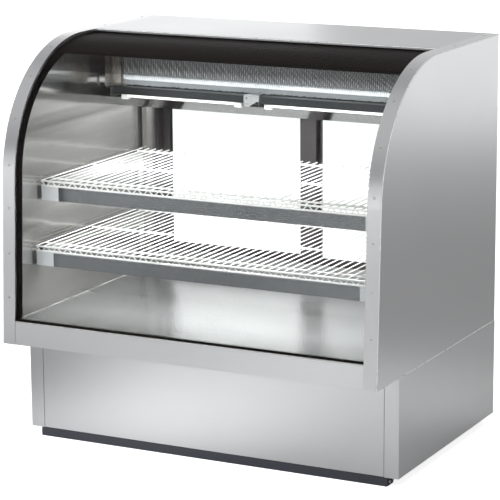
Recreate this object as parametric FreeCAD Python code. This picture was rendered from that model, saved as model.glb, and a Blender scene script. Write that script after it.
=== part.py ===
import FreeCAD, Part

import math
import os

# Refrigerated deli case with a curved glass front, in millimetres.
# +X runs along the case to the customer's right, +Y to the server's side, +Z up.
# The origin is on the floor, in the middle of the case's width and depth.

Vector = FreeCAD.Vector
X_AXIS = Vector(1, 0, 0)
Y_AXIS = Vector(0, 1, 0)
Z_AXIS = Vector(0, 0, 1)

# Driving dimensions of the whole case
WIDTH = 1226.0
DEPTH = 892.0
HEIGHT = 1213.0
CABINET_Z = 324.0
FRONT_ARC_R = 400.0
FRONT_LEAN = math.radians(2.75)
BASE_SETBACK = 151.0
RAIL_HEIGHT = 26.5

# Sheet metal
SKIN = 1.2
CABINET_SIDE_INSET = 1.5
STRIP_INNER_X = 569.0
STRIP_OUTER_X = 605.5
STRIP_STEP = 1.5
STRIP_LIP = 14.0
SCREW_R = 4.2
SCREW_SINK = 0.9
LINER_X = 570.5
LINER = 1.0

# Glass
GLASS_INSET = 8.0
PANE = 4.0
GLASS_UNIT = 16.0
GLASS_GAP = 0.5
GLASS_BOTTOM_Z = 376.0
SILL_TOP_Z = 395.0
HEM_Y = 64.0
TOP_BAND_ANGLE = 68.0
SIDE_BORDER = 5.0
BOTTOM_BORDER = 23.0
BREAKER_DEPTH = 40.0
BREAKER = 3.0

# Interior
DECK_Z = 396.0
CEILING_Z = 1166.0
REAR_FRAME_Y = 388.0
OPENING_BOTTOM_Z = 436.0
OPENING_TOP_Z = 1040.0
OPENING_HALF = 540.0

# Sliding doors
DOOR_THICK = 16.0
INNER_DOOR_Y = 396.0
OUTER_DOOR_Y = 422.0
DOOR_BOTTOM_Z = 440.5
DOOR_TOP_Z = 1034.0
DOOR_END = 538.0
DOOR_LAP = 30.0
STILE = 26.0
MEETING_STILE = 56.0
DOOR_RAIL = 30.0

# Shelves: front edge, top of the wire deck
SHELF_REAR_Y = 326.0
SHELF_HALF = 564.0
UPPER_SHELF = {"front": -285.0, "top": 798.0}
LOWER_SHELF = {"front": -322.0, "top": 605.0}
WIRE_R = 1.8
ROD_R = 3.0
WIRE_PITCH = 25.0
TRUSS_HEIGHT = 17.0
TRUSS_PITCH = 37.0
HOOD_HEIGHT = 41.0
HOOD_DEPTH = 34.0
HOOD_END = 60.0

# Tubes that pass through the cabinet floor: x, y, radius of the hole
FLOOR_HOLES = ((-556.0, 340.0, 7.5), (-556.0, 362.0, 5.5), (540.0, 340.0, 8.5))

# Gravity coil, drip pan and canopy lamps
COIL_X = (-480.0, 522.0)
COIL_Y = (72.0, 262.0)
COIL_Z = (1042.0, 1142.0)
FIN_PITCH = 12.0
FIN = 0.8
TUBE_R = 7.0
TUBE_ROWS_Z = (1068.0, 1116.0)
TUBE_ROWS_Y = (96.0, 142.0, 188.0, 234.0)
PAN_FRONT = (95.0, 998.0)
PAN_LOW = (190.0, 956.0)
PAN_REAR = (318.0, 982.0)
LAMP_RAIL_Y = 3.0
LAMP_RAIL_Z = (1024.0, 1047.0)
LAMP_RAIL_END = 484.0
LAMP_RAIL_GAP = 27.0
LAMP_SPANS = ((-428.0, -62.0), (62.0, 428.0))
LAMP_R = 7.5
LAMPHOLDER = 24.0

# Machine compartment
TRAY_Z = RAIL_HEIGHT
TRAY = 2.0
GRILLE_Y = 424.0
POST_SETBACK = 20.0
FAN_X = -250.0
FAN_Z = 178.0
FAN_Y = 352.0
FAN_R = 112.0
COMPRESSOR = (110.0, 235.0)
RECEIVER = (-70.0, 150.0)
KNOB_X = 470.0
KNOB_Z = 190.0
SWITCH_X = 400.0
SWITCH_PIVOT_Y = 420.0
SWITCH_PIN_R = 1.5
CORD_X = 540.0
CORD_Z = 64.0

HALF_WIDTH = WIDTH / 2
CABINET_HALF = HALF_WIDTH - CABINET_SIDE_INSET
FRONT_Y = -DEPTH / 2
REAR_Y = DEPTH / 2
BASE_FRONT_Y = FRONT_Y + BASE_SETBACK
ARC_Z = HEIGHT - FRONT_ARC_R
ARC_Y = (FRONT_Y + FRONT_ARC_R * math.cos(FRONT_LEAN)
         + (ARC_Z + FRONT_ARC_R * math.sin(FRONT_LEAN) - CABINET_Z) * math.tan(FRONT_LEAN))

nodes = {}


# ---------------------------------------------------------------- helpers

def box(x_low, x_high, y_low, y_high, z_low, z_high):
    """A box between two corners."""
    return Part.makeBox(x_high - x_low, y_high - y_low, z_high - z_low, Vector(x_low, y_low, z_low))


def rod(start, end, radius):
    """A round bar between two points."""
    axis = end - start
    return Part.makeCylinder(radius, axis.Length, start, axis)


def polygon_face(points):
    """A flat face from corner vectors."""
    return Part.Face(Part.makePolygon(points + points[:1]))


def prism_x(corners, x_low, x_high):
    """A prism along X with the given (y, z) corners."""
    points = [Vector(x_low, y, z) for y, z in corners]
    return polygon_face(points).extrude(Vector(x_high - x_low, 0, 0))


def prism_y(corners, y_low, y_high):
    """A prism along Y with the given (x, z) corners."""
    points = [Vector(x, y_low, z) for x, z in corners]
    return polygon_face(points).extrude(Vector(0, y_high - y_low, 0))


def prism_z(corners, z_low, z_high):
    """A prism along Z with the given (x, y) corners."""
    points = [Vector(x, y, z_low) for x, y in corners]
    return polygon_face(points).extrude(Vector(0, 0, z_high - z_low))


def sheet_outline(path, thickness):
    """Corners of a bent sheet: the path and its offset to the left, with mitred bends."""
    count = len(path)
    normals = []
    for (a_1, b_1), (a_2, b_2) in zip(path, path[1:]):
        length = math.hypot(a_2 - a_1, b_2 - b_1)
        normals.append(((b_1 - b_2) / length, (a_2 - a_1) / length))
    offset = []
    for index, (a, b) in enumerate(path):
        before = normals[max(index - 1, 0)]
        after = normals[min(index, count - 2)]
        scale = thickness / (1 + before[0] * after[0] + before[1] * after[1])
        offset.append((a + (before[0] + after[0]) * scale, b + (before[1] + after[1]) * scale))
    return path + offset[::-1]


def mirror_x(shape):
    """The same shape on the other end of the case."""
    return shape.mirror(Vector(0, 0, 0), X_AXIS)


def both_ends(shape):
    """A group of a shape and its mirror image."""
    return Part.makeCompound([shape, mirror_x(shape)])


def group(*shapes):
    """One node made of several separate solids."""
    return Part.makeCompound([solid for shape in shapes for solid in shape.Solids])


def round_edges(shape, radius, choose):
    """Fillet the edges for which choose(edge) is true."""
    edges = [edge for edge in shape.Edges if choose(edge)]
    return shape.makeFillet(radius, edges)


def front_y_at(inset, z):
    """Y of the leaning front face, moved inwards by inset, at height z."""
    tangent_y = ARC_Y - (FRONT_ARC_R - inset) * math.cos(FRONT_LEAN)
    tangent_z = ARC_Z + (FRONT_ARC_R - inset) * math.sin(FRONT_LEAN)
    return tangent_y - (tangent_z - z) * math.tan(FRONT_LEAN)


def arc_point(inset, angle, x=0.0):
    """A point on the curved front, angle in degrees up from straight ahead."""
    radius = FRONT_ARC_R - inset
    turn = math.radians(angle)
    return Vector(x, ARC_Y - radius * math.cos(turn), ARC_Z + radius * math.sin(turn))


def front_path(inset, bottom_z, end_y, x):
    """Edges up the leaning front, round the arc and back along the top to end_y."""
    lean = math.degrees(FRONT_LEAN)
    foot = Vector(x, front_y_at(inset, bottom_z), bottom_z)
    tangent = arc_point(inset, lean, x)
    crown = arc_point(inset, 90, x)
    middle = arc_point(inset, (lean + 90) / 2, x)
    end = Vector(x, end_y, HEIGHT - inset)
    return [Part.makeLine(foot, tangent), Part.Arc(tangent, middle, crown).toShape(),
            Part.makeLine(crown, end)]


def ends_of(edges):
    """First and last point of a run of edges."""
    return edges[0].Vertexes[0].Point, edges[-1].Vertexes[-1].Point


def band(outer_inset, inner_inset, bottom_z, end_y, x_low, x_high):
    """A slab that follows the front and top between two insets."""
    outer = front_path(outer_inset, bottom_z, end_y, x_low)
    inner = front_path(inner_inset, bottom_z, end_y, x_low)
    outer_foot, outer_end = ends_of(outer)
    inner_foot, inner_end = ends_of(inner)
    closing = [Part.makeLine(outer_end, inner_end), Part.makeLine(inner_foot, outer_foot)]
    wire = Part.Wire(Part.__sortEdges__(outer + inner + closing))
    return Part.Face(wire).extrude(Vector(x_high - x_low, 0, 0))


def side_prism(inset, bottom_z, rear_y, x_low, x_high):
    """The side outline of the cabinet, moved inwards by inset along the front and top."""
    edges = front_path(inset, bottom_z, rear_y, x_low)
    foot, end = ends_of(edges)
    corner = Vector(x_low, rear_y, bottom_z)
    edges += [Part.makeLine(end, corner), Part.makeLine(corner, foot)]
    return Part.Face(Part.Wire(Part.__sortEdges__(edges))).extrude(Vector(x_high - x_low, 0, 0))


def pipe(points, radius, bend):
    """A round tube along straight runs joined by tangent arcs."""
    edges = []
    last = points[0]
    for before, corner, after in zip(points, points[1:], points[2:]):
        to_before = (before - corner).normalize()
        to_after = (after - corner).normalize()
        half = to_before.getAngle(to_after) / 2
        setback = bend / math.tan(half)
        start = corner + to_before * setback
        end = corner + to_after * setback
        inward = (to_before + to_after).normalize()
        middle = corner + inward * (bend / math.sin(half) - bend)
        edges.append(Part.makeLine(last, start))
        edges.append(Part.Arc(start, middle, end).toShape())
        last = end
    edges.append(Part.makeLine(last, points[-1]))
    spine = Part.Wire(edges)
    section = Part.Wire(Part.makeCircle(radius, points[0], points[1] - points[0]))
    return spine.makePipeShell([section], True, False)


def screw_head(point, normal, radius, height):
    """A low pan head standing on a face."""
    head = Part.makeCylinder(radius, height, point, normal)
    at_top = lambda edge: (edge.CenterOfMass - point).dot(normal) > height * 0.9 and edge.Length > radius
    return round_edges(head, height * 0.6, at_top)


# ---------------------------------------------------------------- base

def make_base_rails():
    """Front and rear steel channels that the case stands on, with end fasteners."""
    reach = 576.0
    web = 44.0
    wall = 3.0
    rails = []
    for y_low in (BASE_FRONT_Y, REAR_Y - 52.0):
        outer = box(-reach, reach, y_low, y_low + web, 0, RAIL_HEIGHT)
        hollow = box(-reach, reach, y_low + wall, y_low + web - wall, wall, RAIL_HEIGHT - wall)
        rails.append(outer.cut(hollow))
    return Part.makeCompound(rails)


def make_rail_caps():
    """Plugs that close the rail ends, each with two fasteners."""
    caps = []
    for y_low in (BASE_FRONT_Y, REAR_Y - 52.0):
        cap = box(576.0, 578.0, y_low, y_low + 44.0, 0.6, RAIL_HEIGHT - 0.6)
        for y in (y_low + 12.0, y_low + 32.0):
            cap = cap.fuse(Part.makeCylinder(3.2, 2.0, Vector(578.0, y, RAIL_HEIGHT / 2), X_AXIS))
        caps += [cap, mirror_x(cap)]
    return Part.makeCompound(caps)


def make_machine_tray():
    """Flat pan with upturned edges that carries the condensing unit."""
    lip = 16.0
    half = 600.0
    front, rear = BASE_FRONT_Y + POST_SETBACK - TRAY - 1, GRILLE_Y - 3
    outer = box(-half, half, front, rear, TRAY_Z, TRAY_Z + lip)
    inner = box(-half + TRAY, half - TRAY, front + TRAY, rear - TRAY, TRAY_Z + TRAY, TRAY_Z + lip)
    return outer.cut(inner)


def make_base_posts():
    """Four angle posts between the tray and the cabinet floor."""
    leg = 38.0
    wall = 3.0
    x_out = 596.0
    posts = []
    for y_out, inwards in ((BASE_FRONT_Y + POST_SETBACK, 1), (GRILLE_Y - 8, -1)):
        corners = [(x_out, y_out), (x_out - leg, y_out), (x_out - leg, y_out + inwards * wall),
                   (x_out - wall, y_out + inwards * wall), (x_out - wall, y_out + inwards * leg),
                   (x_out, y_out + inwards * leg)]
        post = prism_z(corners, TRAY_Z + TRAY, CABINET_Z)
        posts += [post, mirror_x(post)]
    return Part.makeCompound(posts)


def make_base_side():
    """Side panel of the base, bent round the front corner into a corner post."""
    corner_face = 45.0
    path = [(HALF_WIDTH, REAR_Y), (HALF_WIDTH, BASE_FRONT_Y), (HALF_WIDTH - corner_face, BASE_FRONT_Y),
            (HALF_WIDTH - corner_face, BASE_FRONT_Y + 14.0)]
    # The path runs along the outer face, so the metal lies on its inner side.
    panel = prism_z(sheet_outline(path[::-1], SKIN), RAIL_HEIGHT, CABINET_Z)
    corner = lambda edge: (edge.Length > 200 and abs(edge.CenterOfMass.x - HALF_WIDTH) < 0.01
                           and abs(edge.CenterOfMass.y - BASE_FRONT_Y) < 0.01)
    panel = round_edges(panel, 1.0, corner)
    return panel


def make_base_front_panel():
    """Removable front cover of the machine compartment, with returned edges."""
    half = HALF_WIDTH - 46.2
    low, high = RAIL_HEIGHT + 1.5, CABINET_Z - 1.0
    outer = box(-half, half, BASE_FRONT_Y, BASE_FRONT_Y + 16, low, high)
    inner = box(-half + SKIN, half - SKIN, BASE_FRONT_Y + SKIN, BASE_FRONT_Y + 16, low + SKIN, high - SKIN)
    return outer.cut(inner)


def make_rear_grille():
    """Louvred rear cover of the machine compartment, with a plain control area at one end."""
    plate = box(-608, 608, GRILLE_Y, GRILLE_Y + 1.5, RAIL_HEIGHT + 2, CABINET_Z - 2)
    slots = []
    hoods = []
    rows = 9
    for x_low in (-560.0, -300.0, -40.0):
        for row in range(rows):
            z = 62.0 + row * 27.0
            slots.append(box(x_low, x_low + 230, GRILLE_Y - 1, GRILLE_Y + 3, z, z + 9))
            section = [(GRILLE_Y + 1.5, z + 9), (GRILLE_Y + 8.5, z + 1), (GRILLE_Y + 9.6, z + 2),
                       (GRILLE_Y + 1.5, z + 11.5)]
            hoods.append(prism_x(section, x_low - 3, x_low + 233))
    plate = plate.cut(Part.makeCompound(slots))
    plate = plate.cut(Part.makeCylinder(6.0, 10, Vector(KNOB_X, GRILLE_Y - 5, KNOB_Z), Y_AXIS))
    slot = box(SWITCH_X - 11, SWITCH_X + 11, GRILLE_Y - 1, GRILLE_Y + 3, KNOB_Z - 16, KNOB_Z + 16)
    plate = plate.cut(slot)
    plate = plate.cut(Part.makeCylinder(11.0, 10, Vector(CORD_X, GRILLE_Y - 5, CORD_Z), Y_AXIS))
    return plate.multiFuse(hoods)


def make_cord_gland():
    """Flanged bush where the supply cord would enter."""
    centre = Vector(CORD_X, GRILLE_Y - 10, CORD_Z)
    body = Part.makeCylinder(10.9, 18, centre, Y_AXIS)
    flange = Part.makeCylinder(15, 4, centre + Vector(0, 11.5, 0), Y_AXIS)
    bore = Part.makeCylinder(5.5, 20, centre - Vector(0, 1, 0), Y_AXIS)
    return body.fuse(flange).cut(bore)


# ---------------------------------------------------------------- condensing unit

def make_compressor():
    """Hermetic dome compressor on a foot plate, with a terminal cover."""
    x, y = COMPRESSOR
    foot_z = TRAY_Z + TRAY + 14
    dome = Part.makeCylinder(82, 120, Vector(x, y, foot_z + 22), Z_AXIS)
    dome = round_edges(dome, 38, lambda edge: edge.CenterOfMass.z > foot_z + 100 and edge.Length > 300)
    dome = round_edges(dome, 18, lambda edge: edge.CenterOfMass.z < foot_z + 25 and edge.Length > 300)
    seam = Part.makeCylinder(85, 6, Vector(x, y, foot_z + 78), Z_AXIS)
    plate = box(x - 110, x + 110, y - 75, y + 75, foot_z, foot_z + 4)
    saddle = Part.makeCylinder(60, 22, Vector(x, y, foot_z + 3), Z_AXIS)
    cover = box(x + 60, x + 106, y - 32, y + 32, foot_z + 50, foot_z + 112)
    body = dome.multiFuse([seam, plate, saddle, cover])
    for side in (-1, 1):
        for end in (-1, 1):
            hole = Vector(x + side * 95, y + end * 60, foot_z - 1)
            body = body.cut(Part.makeCylinder(7, 8, hole, Z_AXIS))
    return body


def make_compressor_mounts():
    """Four rubber grommets under the compressor's foot plate."""
    x, y = COMPRESSOR
    low = TRAY_Z + TRAY
    mounts = []
    for side in (-1, 1):
        for end in (-1, 1):
            foot = Vector(x + side * 95, y + end * 60, low)
            bush = Part.makeCylinder(13, 14, foot, Z_AXIS)
            neck = Part.makeCylinder(6.8, 9, foot + Vector(0, 0, 14), Z_AXIS)
            top = Part.makeCylinder(11, 4, foot + Vector(0, 0, 19), Z_AXIS)
            mounts.append(bush.fuse(neck).fuse(top))
    return Part.makeCompound(mounts)


def make_condenser_fins():
    """Finned condenser block with serpentine tubes, behind the rear louvres."""
    x_low, x_high = FAN_X - 150, FAN_X + 150
    y_low, y_high = 386.0, 418.0
    z_low, z_high = 52.0, 304.0
    tube = 4.8
    rows = [z_low + 18 + 27 * step for step in range(9)]
    fin = box(0, 0.7, y_low, y_high, z_low, z_high)
    middle_y = (y_low + y_high) / 2
    for z in rows:
        fin = fin.cut(Part.makeCylinder(tube, 3, Vector(-1, middle_y, z), X_AXIS))
    pitch = 7.5
    count = int((x_high - x_low) / pitch) + 1
    return Part.makeCompound([fin.translated(Vector(x_low + pitch * step, 0, 0)) for step in range(count)])


def make_condenser_tubes():
    """Serpentine tube through the condenser fins."""
    x_low, x_high = FAN_X - 168, FAN_X + 168
    middle_y = 402.0
    rows = [70.0 + 27 * step for step in range(9)]
    points = []
    for index, z in enumerate(rows):
        ends = (x_low, x_high) if index % 2 == 0 else (x_high, x_low)
        points += [Vector(end, middle_y, z) for end in ends]
    return pipe(points, 4.7, 13.0)


def make_fan_shroud():
    """Square shroud with a round throat and a wire-arm motor mount, in front of the condenser."""
    half = 150.0
    z_low, z_high = 48.0, 308.0
    plate = box(FAN_X - half, FAN_X + half, 368, 370, z_low, z_high)
    throat = Part.makeCylinder(FAN_R + 8, 30, Vector(FAN_X, 340, FAN_Z), Y_AXIS)
    hole = Part.makeCylinder(FAN_R + 6, 34, Vector(FAN_X, 338, FAN_Z), Y_AXIS)
    frame = box(FAN_X - half, FAN_X + half, 370, 385.5, z_low, z_high)
    frame = frame.cut(box(FAN_X - half + 2, FAN_X + half - 2, 370, 386, z_low + 2, z_high - 2))
    return plate.multiFuse([throat, frame]).cut(hole)


def make_fan_bracket():
    """Four arms that hold the fan motor in front of the shroud."""
    hub = Part.makeCylinder(40, 4, Vector(FAN_X, 316, FAN_Z), Y_AXIS)
    arms = []
    for turn in (45, 135, 225, 315):
        arm = box(36, 142, 316, 320, -6, 6)
        foot = box(138, 142, 316, 368, -6, 6)
        shape = arm.fuse(foot)
        shape.rotate(Vector(0, 0, 0), Y_AXIS, turn)
        arms.append(shape.translated(Vector(FAN_X, 0, FAN_Z)))
    plate = hub.multiFuse(arms)
    return plate.cut(Part.makeCylinder(9, 20, Vector(FAN_X, 310, FAN_Z), Y_AXIS))


def make_fan_motor():
    """Round fan motor with a shaft."""
    body = Part.makeCylinder(38, 62, Vector(FAN_X, 254, FAN_Z), Y_AXIS)
    body = round_edges(body, 8, lambda edge: edge.CenterOfMass.y < 256 and edge.Length > 100)
    boss = Part.makeCylinder(8.8, 6, Vector(FAN_X, 316, FAN_Z), Y_AXIS)
    shaft = Part.makeCylinder(3.0, 40, Vector(FAN_X, 322, FAN_Z), Y_AXIS)
    return body.multiFuse([boss, shaft])


def make_fan_blade():
    """Five-bladed axial fan, a running fit on the motor's shaft."""
    hub = Part.makeCylinder(18, 22, Vector(0, FAN_Y - 11, 0), Y_AXIS)
    blades = []
    count = 5
    for index in range(count):
        blade = box(14, FAN_R - 4, -1.2, 1.2, -34, 34)
        blade = blade.common(Part.makeCylinder(FAN_R - 4, 10, Vector(0, -5, 0), Y_AXIS))
        blade = blade.common(prism_y([(14, -14), (FAN_R, -34), (FAN_R, 30), (14, 18)], -5, 5))
        blade.rotate(Vector(0, 0, 0), X_AXIS, 24)
        blade.translate(Vector(0, FAN_Y, 0))
        blade.rotate(Vector(0, 0, 0), Y_AXIS, 360.0 / count * index)
        blades.append(blade)
    fan = hub.multiFuse(blades)
    fan = fan.cut(Part.makeCylinder(3.06, 40, Vector(0, FAN_Y - 20, 0), Y_AXIS))
    return fan.translated(Vector(FAN_X, 0, FAN_Z))


def make_receiver():
    """Liquid receiver standing beside the compressor."""
    foot = Vector(RECEIVER[0], RECEIVER[1], TRAY_Z + TRAY)
    receiver = Part.makeCylinder(36, 150, foot + Vector(0, 0, 6), Z_AXIS)
    receiver = round_edges(receiver, 16, lambda edge: edge.Length > 200 and edge.CenterOfMass.z > 60)
    stand = Part.makeCylinder(28, 6, foot, Z_AXIS)
    return receiver.fuse(stand)


def make_refrigerant_lines():
    """Suction and liquid lines from the machine compartment to the coil."""
    rise_x, suction_y, _ = FLOOR_HOLES[0]
    liquid_y = FLOOR_HOLES[1][1]
    low_z = TUBE_ROWS_Z[0]
    first_y, last_y = TUBE_ROWS_Y[0], TUBE_ROWS_Y[-1]
    coil_x = COIL_X[0] - 50.5
    stub_x = COMPRESSOR[0] - 40
    suction = [Vector(stub_x, COMPRESSOR[1] - 90, 120), Vector(stub_x, 40, 120),
               Vector(rise_x, 40, 120), Vector(rise_x, suction_y, 120), Vector(rise_x, suction_y, low_z),
               Vector(rise_x, last_y, low_z), Vector(coil_x, last_y, low_z)]
    liquid = [Vector(RECEIVER[0], RECEIVER[1] - 37, 100), Vector(RECEIVER[0], 70, 100),
              Vector(rise_x, 70, 100), Vector(rise_x, liquid_y, 100), Vector(rise_x, liquid_y, 1026),
              Vector(rise_x, first_y, 1026), Vector(rise_x, first_y, low_z), Vector(coil_x, first_y, low_z)]
    return Part.makeCompound([pipe(suction, 6.0, 14.0), pipe(liquid, 4.0, 12.0)])


def make_control_box():
    """Box behind the rear cover with the thermostat, the lamp ballast and the switch's pocket."""
    face_y = GRILLE_Y - 1.5
    case = box(356, 524, 330, face_y, 100, 250)
    case = round_edges(case, 3, lambda edge: abs(edge.Length - 150) < 0.1 and edge.CenterOfMass.y < 340)
    shaft = Part.makeCylinder(3.0, 15.5, Vector(KNOB_X, face_y, KNOB_Z), Y_AXIS)
    pocket = box(SWITCH_X - 9.5, SWITCH_X + 9.5, 400, GRILLE_Y, KNOB_Z - 15, KNOB_Z + 15)
    return case.cut(pocket).cut(switch_pin(12.5, SWITCH_PIN_R + 0.06)).fuse(shaft)


def switch_pin(reach, radius):
    """Pivot pin of the lamp switch, reaching that far to each side."""
    centre = Vector(SWITCH_X, SWITCH_PIVOT_Y, KNOB_Z)
    return rod(centre - X_AXIS * reach, centre + X_AXIS * reach, radius)


def make_thermostat_knob():
    """Fluted knob with a pointer ridge, a running fit on the thermostat's shaft."""
    knob = Part.makeCylinder(17, 14, Vector(KNOB_X, GRILLE_Y + 4, KNOB_Z), Y_AXIS)
    knob = round_edges(knob, 2.5, lambda edge: edge.CenterOfMass.y > GRILLE_Y + 17 and edge.Length > 100)
    flutes = []
    for index in range(16):
        turn = math.radians(22.5 * index + 11.25)
        foot = Vector(KNOB_X + 18.4 * math.cos(turn), GRILLE_Y + 3, KNOB_Z + 18.4 * math.sin(turn))
        flutes.append(Part.makeCylinder(2.6, 16, foot, Y_AXIS))
    knob = knob.cut(Part.makeCompound(flutes))
    pointer = box(KNOB_X - 1.5, KNOB_X + 1.5, GRILLE_Y + 17, GRILLE_Y + 19.5, KNOB_Z, KNOB_Z + 14)
    bore = Part.makeCylinder(3.06, 10.6, Vector(KNOB_X, GRILLE_Y + 3.9, KNOB_Z), Y_AXIS)
    skirt_gap = Part.makeCylinder(13, 2, Vector(KNOB_X, GRILLE_Y + 3.9, KNOB_Z), Y_AXIS)
    return knob.fuse(pointer).cut(bore.fuse(skirt_gap))


def make_switch_rocker():
    """Rocker of the lamp switch with its pivot pins, resting at its off tilt."""
    half = 13.0
    section = [(GRILLE_Y - 6, KNOB_Z - 7), (GRILLE_Y - 6, KNOB_Z + 7), (GRILLE_Y + 6.6, KNOB_Z + half),
               (GRILLE_Y + 4.2, KNOB_Z), (GRILLE_Y + 2.4, KNOB_Z - half + 0.6)]
    return prism_x(section, SWITCH_X - 8.4, SWITCH_X + 8.4).fuse(switch_pin(12.0, SWITCH_PIN_R))


def make_condensate_pan():
    """Evaporator pan under the drain line."""
    outer = box(200, 470, -160, 120, TRAY_Z + TRAY, TRAY_Z + TRAY + 42)
    return outer.cut(box(202, 468, -158, 118, TRAY_Z + TRAY + 2, TRAY_Z + TRAY + 42))


# ---------------------------------------------------------------- insulated cabinet

def make_end_panel():
    """Right stainless end skin: a pan with its front flange stepped down for the trim strip."""
    inner_x = LINER_X + LINER
    edge_part = side_prism(0, CABINET_Z, REAR_Y, STRIP_OUTER_X, CABINET_HALF)
    rounded = lambda edge: (abs(edge.CenterOfMass.x - CABINET_HALF) < 0.01
                            and edge.CenterOfMass.y < REAR_Y - 1 and edge.CenterOfMass.z > CABINET_Z + 1)
    edge_part = round_edges(edge_part, 3.0, rounded)
    seat = side_prism(STRIP_STEP, CABINET_Z, REAR_Y, inner_x, STRIP_OUTER_X)
    hollow = side_prism(STRIP_STEP + SKIN, CABINET_Z + SKIN, REAR_Y - SKIN, inner_x, CABINET_HALF - SKIN)
    return edge_part.fuse(seat).cut(hollow).removeSplitter()


def make_end_insulation():
    """Foam core of the right end wall."""
    inset = STRIP_STEP + SKIN + 0.1
    return side_prism(inset, CABINET_Z + SKIN, REAR_Y - SKIN, LINER_X + LINER, CABINET_HALF - SKIN)


def make_end_liner():
    """Polished inner wall of the right end."""
    inset = GLASS_INSET + GLASS_UNIT + 1.5
    return side_prism(inset, DECK_Z + 1.5, REAR_FRAME_Y - 0.5, LINER_X, LINER_X + LINER)


def make_line_cover():
    """Steel corner cover over the refrigerant lines, inside the left end at the rear."""
    left, right, front, rear = -562.0, -545.0, 328.0, 385.0
    low, high = DECK_Z + LINER + 0.2, 1015.0
    return prism_z(sheet_outline([(left, front), (right, front), (right, rear)], LINER), low, high)


def make_end_trim():
    """Curved stainless strip over the right end of the glass, with a lip down to the glass."""
    past = 5.0
    strip = band(0, STRIP_LIP, CABINET_Z, REAR_Y, STRIP_INNER_X, STRIP_OUTER_X)
    under = band(STRIP_STEP, STRIP_LIP + past, CABINET_Z - past, REAR_Y + past,
                 STRIP_INNER_X + STRIP_STEP, STRIP_OUTER_X + past)
    strip = strip.cut(under)
    for point, normal in trim_screw_places():
        strip = strip.cut(Part.makeCylinder(SCREW_R + 0.1, 3, point - normal * SCREW_SINK, normal))
    return strip


def trim_screw_places():
    """Points and normals of the screws along the right strip."""
    x = (STRIP_INNER_X + STRIP_OUTER_X) / 2 + 1.0
    places = []
    for z in (467.0, 600.0, 735.0):
        normal = Vector(0, -math.cos(FRONT_LEAN), math.sin(FRONT_LEAN))
        places.append((Vector(x, front_y_at(0, z), z), normal))
    for angle in (7.0, 27.0, 48.0, 68.0):
        normal = arc_point(0, angle) - Vector(0, ARC_Y, ARC_Z)
        places.append((arc_point(0, angle, x), normal.normalize()))
    for y in (150.0, 385.0):
        places.append((Vector(x, y, HEIGHT), Z_AXIS))
    return places


def make_trim_screws():
    """Pan-head screws along both trim strips, with heads sunk into the strip."""
    heads = []
    for point, normal in trim_screw_places():
        head = screw_head(point - normal * SCREW_SINK, normal, SCREW_R, 1.8)
        heads += [head, mirror_x(head)]
    return Part.makeCompound(heads)


def make_top_panel():
    """Stainless top with a rolled front hem over the glass and a rear return."""
    nose = 4.0
    path = [(HEM_Y, HEIGHT - GLASS_INSET + 0.4), (HEM_Y, HEIGHT), (REAR_Y, HEIGHT), (REAR_Y, HEIGHT - 24)]
    half = STRIP_INNER_X - 0.3
    panel = prism_x(sheet_outline(path[::-1], SKIN), -half, half)
    front = lambda edge: (edge.Length > 1000 and edge.CenterOfMass.y < HEM_Y + 0.1
                          and edge.CenterOfMass.z > HEIGHT - 0.1)
    return round_edges(panel, nose, front)


def make_top_insulation():
    """Foam between the top panel and the ceiling liner."""
    lip_z = HEIGHT - STRIP_LIP - 0.5
    wide = LINER_X - 0.2
    narrow = STRIP_INNER_X - 0.2
    low = box(-wide, wide, HEM_Y + 18, REAR_FRAME_Y - 0.3, CEILING_Z, lip_z)
    high = box(-narrow, narrow, HEM_Y + 18, REAR_FRAME_Y - 0.3, lip_z, HEIGHT - SKIN - 0.1)
    return low.fuse(high)


def make_ceiling_liner():
    """Inner ceiling with a turned-down front edge."""
    half = LINER_X - 0.2
    path = [(HEM_Y + 17, HEIGHT - GLASS_INSET - GLASS_UNIT - 0.5), (HEM_Y + 17, CEILING_Z - LINER),
            (REAR_FRAME_Y - 0.3, CEILING_Z - LINER)]
    return prism_x(sheet_outline(path, LINER), -half, half)


def cut_floor_holes(shape):
    """Clear the holes for the tubes that pass through the cabinet floor."""
    low = CABINET_Z - 5
    drills = [Part.makeCylinder(radius, 100, Vector(x, y, low), Z_AXIS) for x, y, radius in FLOOR_HOLES]
    return shape.cut(Part.makeCompound(drills))


def make_floor_pan():
    """Outer underside of the insulated cabinet."""
    half = LINER_X + LINER - 0.1
    return cut_floor_holes(box(-half, half, FRONT_Y + 50, REAR_Y, CABINET_Z, CABINET_Z + SKIN))


def make_front_sill():
    """Stainless sill under the glass: kick-out face, rounded hem and a channel that holds the glass."""
    half = STRIP_INNER_X - 0.3
    face = 1.0
    hem_back = GLASS_INSET - 0.4
    channel_back = GLASS_INSET + GLASS_UNIT + 1.6
    low = GLASS_BOTTOM_Z - 2.0
    path = [(FRONT_Y + 49.5, CABINET_Z), (front_y_at(face, CABINET_Z), CABINET_Z),
            (front_y_at(face, SILL_TOP_Z), SILL_TOP_Z), (front_y_at(hem_back, SILL_TOP_Z), SILL_TOP_Z),
            (front_y_at(hem_back, low), low), (front_y_at(channel_back, low), low),
            (front_y_at(channel_back, SILL_TOP_Z + 2), SILL_TOP_Z + 2),
            (front_y_at(channel_back + 8, SILL_TOP_Z + 2), SILL_TOP_Z + 2)]
    sill = prism_x(sheet_outline(path[::-1], SKIN), -half, half)
    hem = lambda edge: (edge.Length > 1000 and abs(edge.CenterOfMass.z - SILL_TOP_Z) < 0.01
                        and edge.CenterOfMass.y < front_y_at(face, SILL_TOP_Z) + 0.1)
    return round_edges(sill, 3.0, hem)


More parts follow.
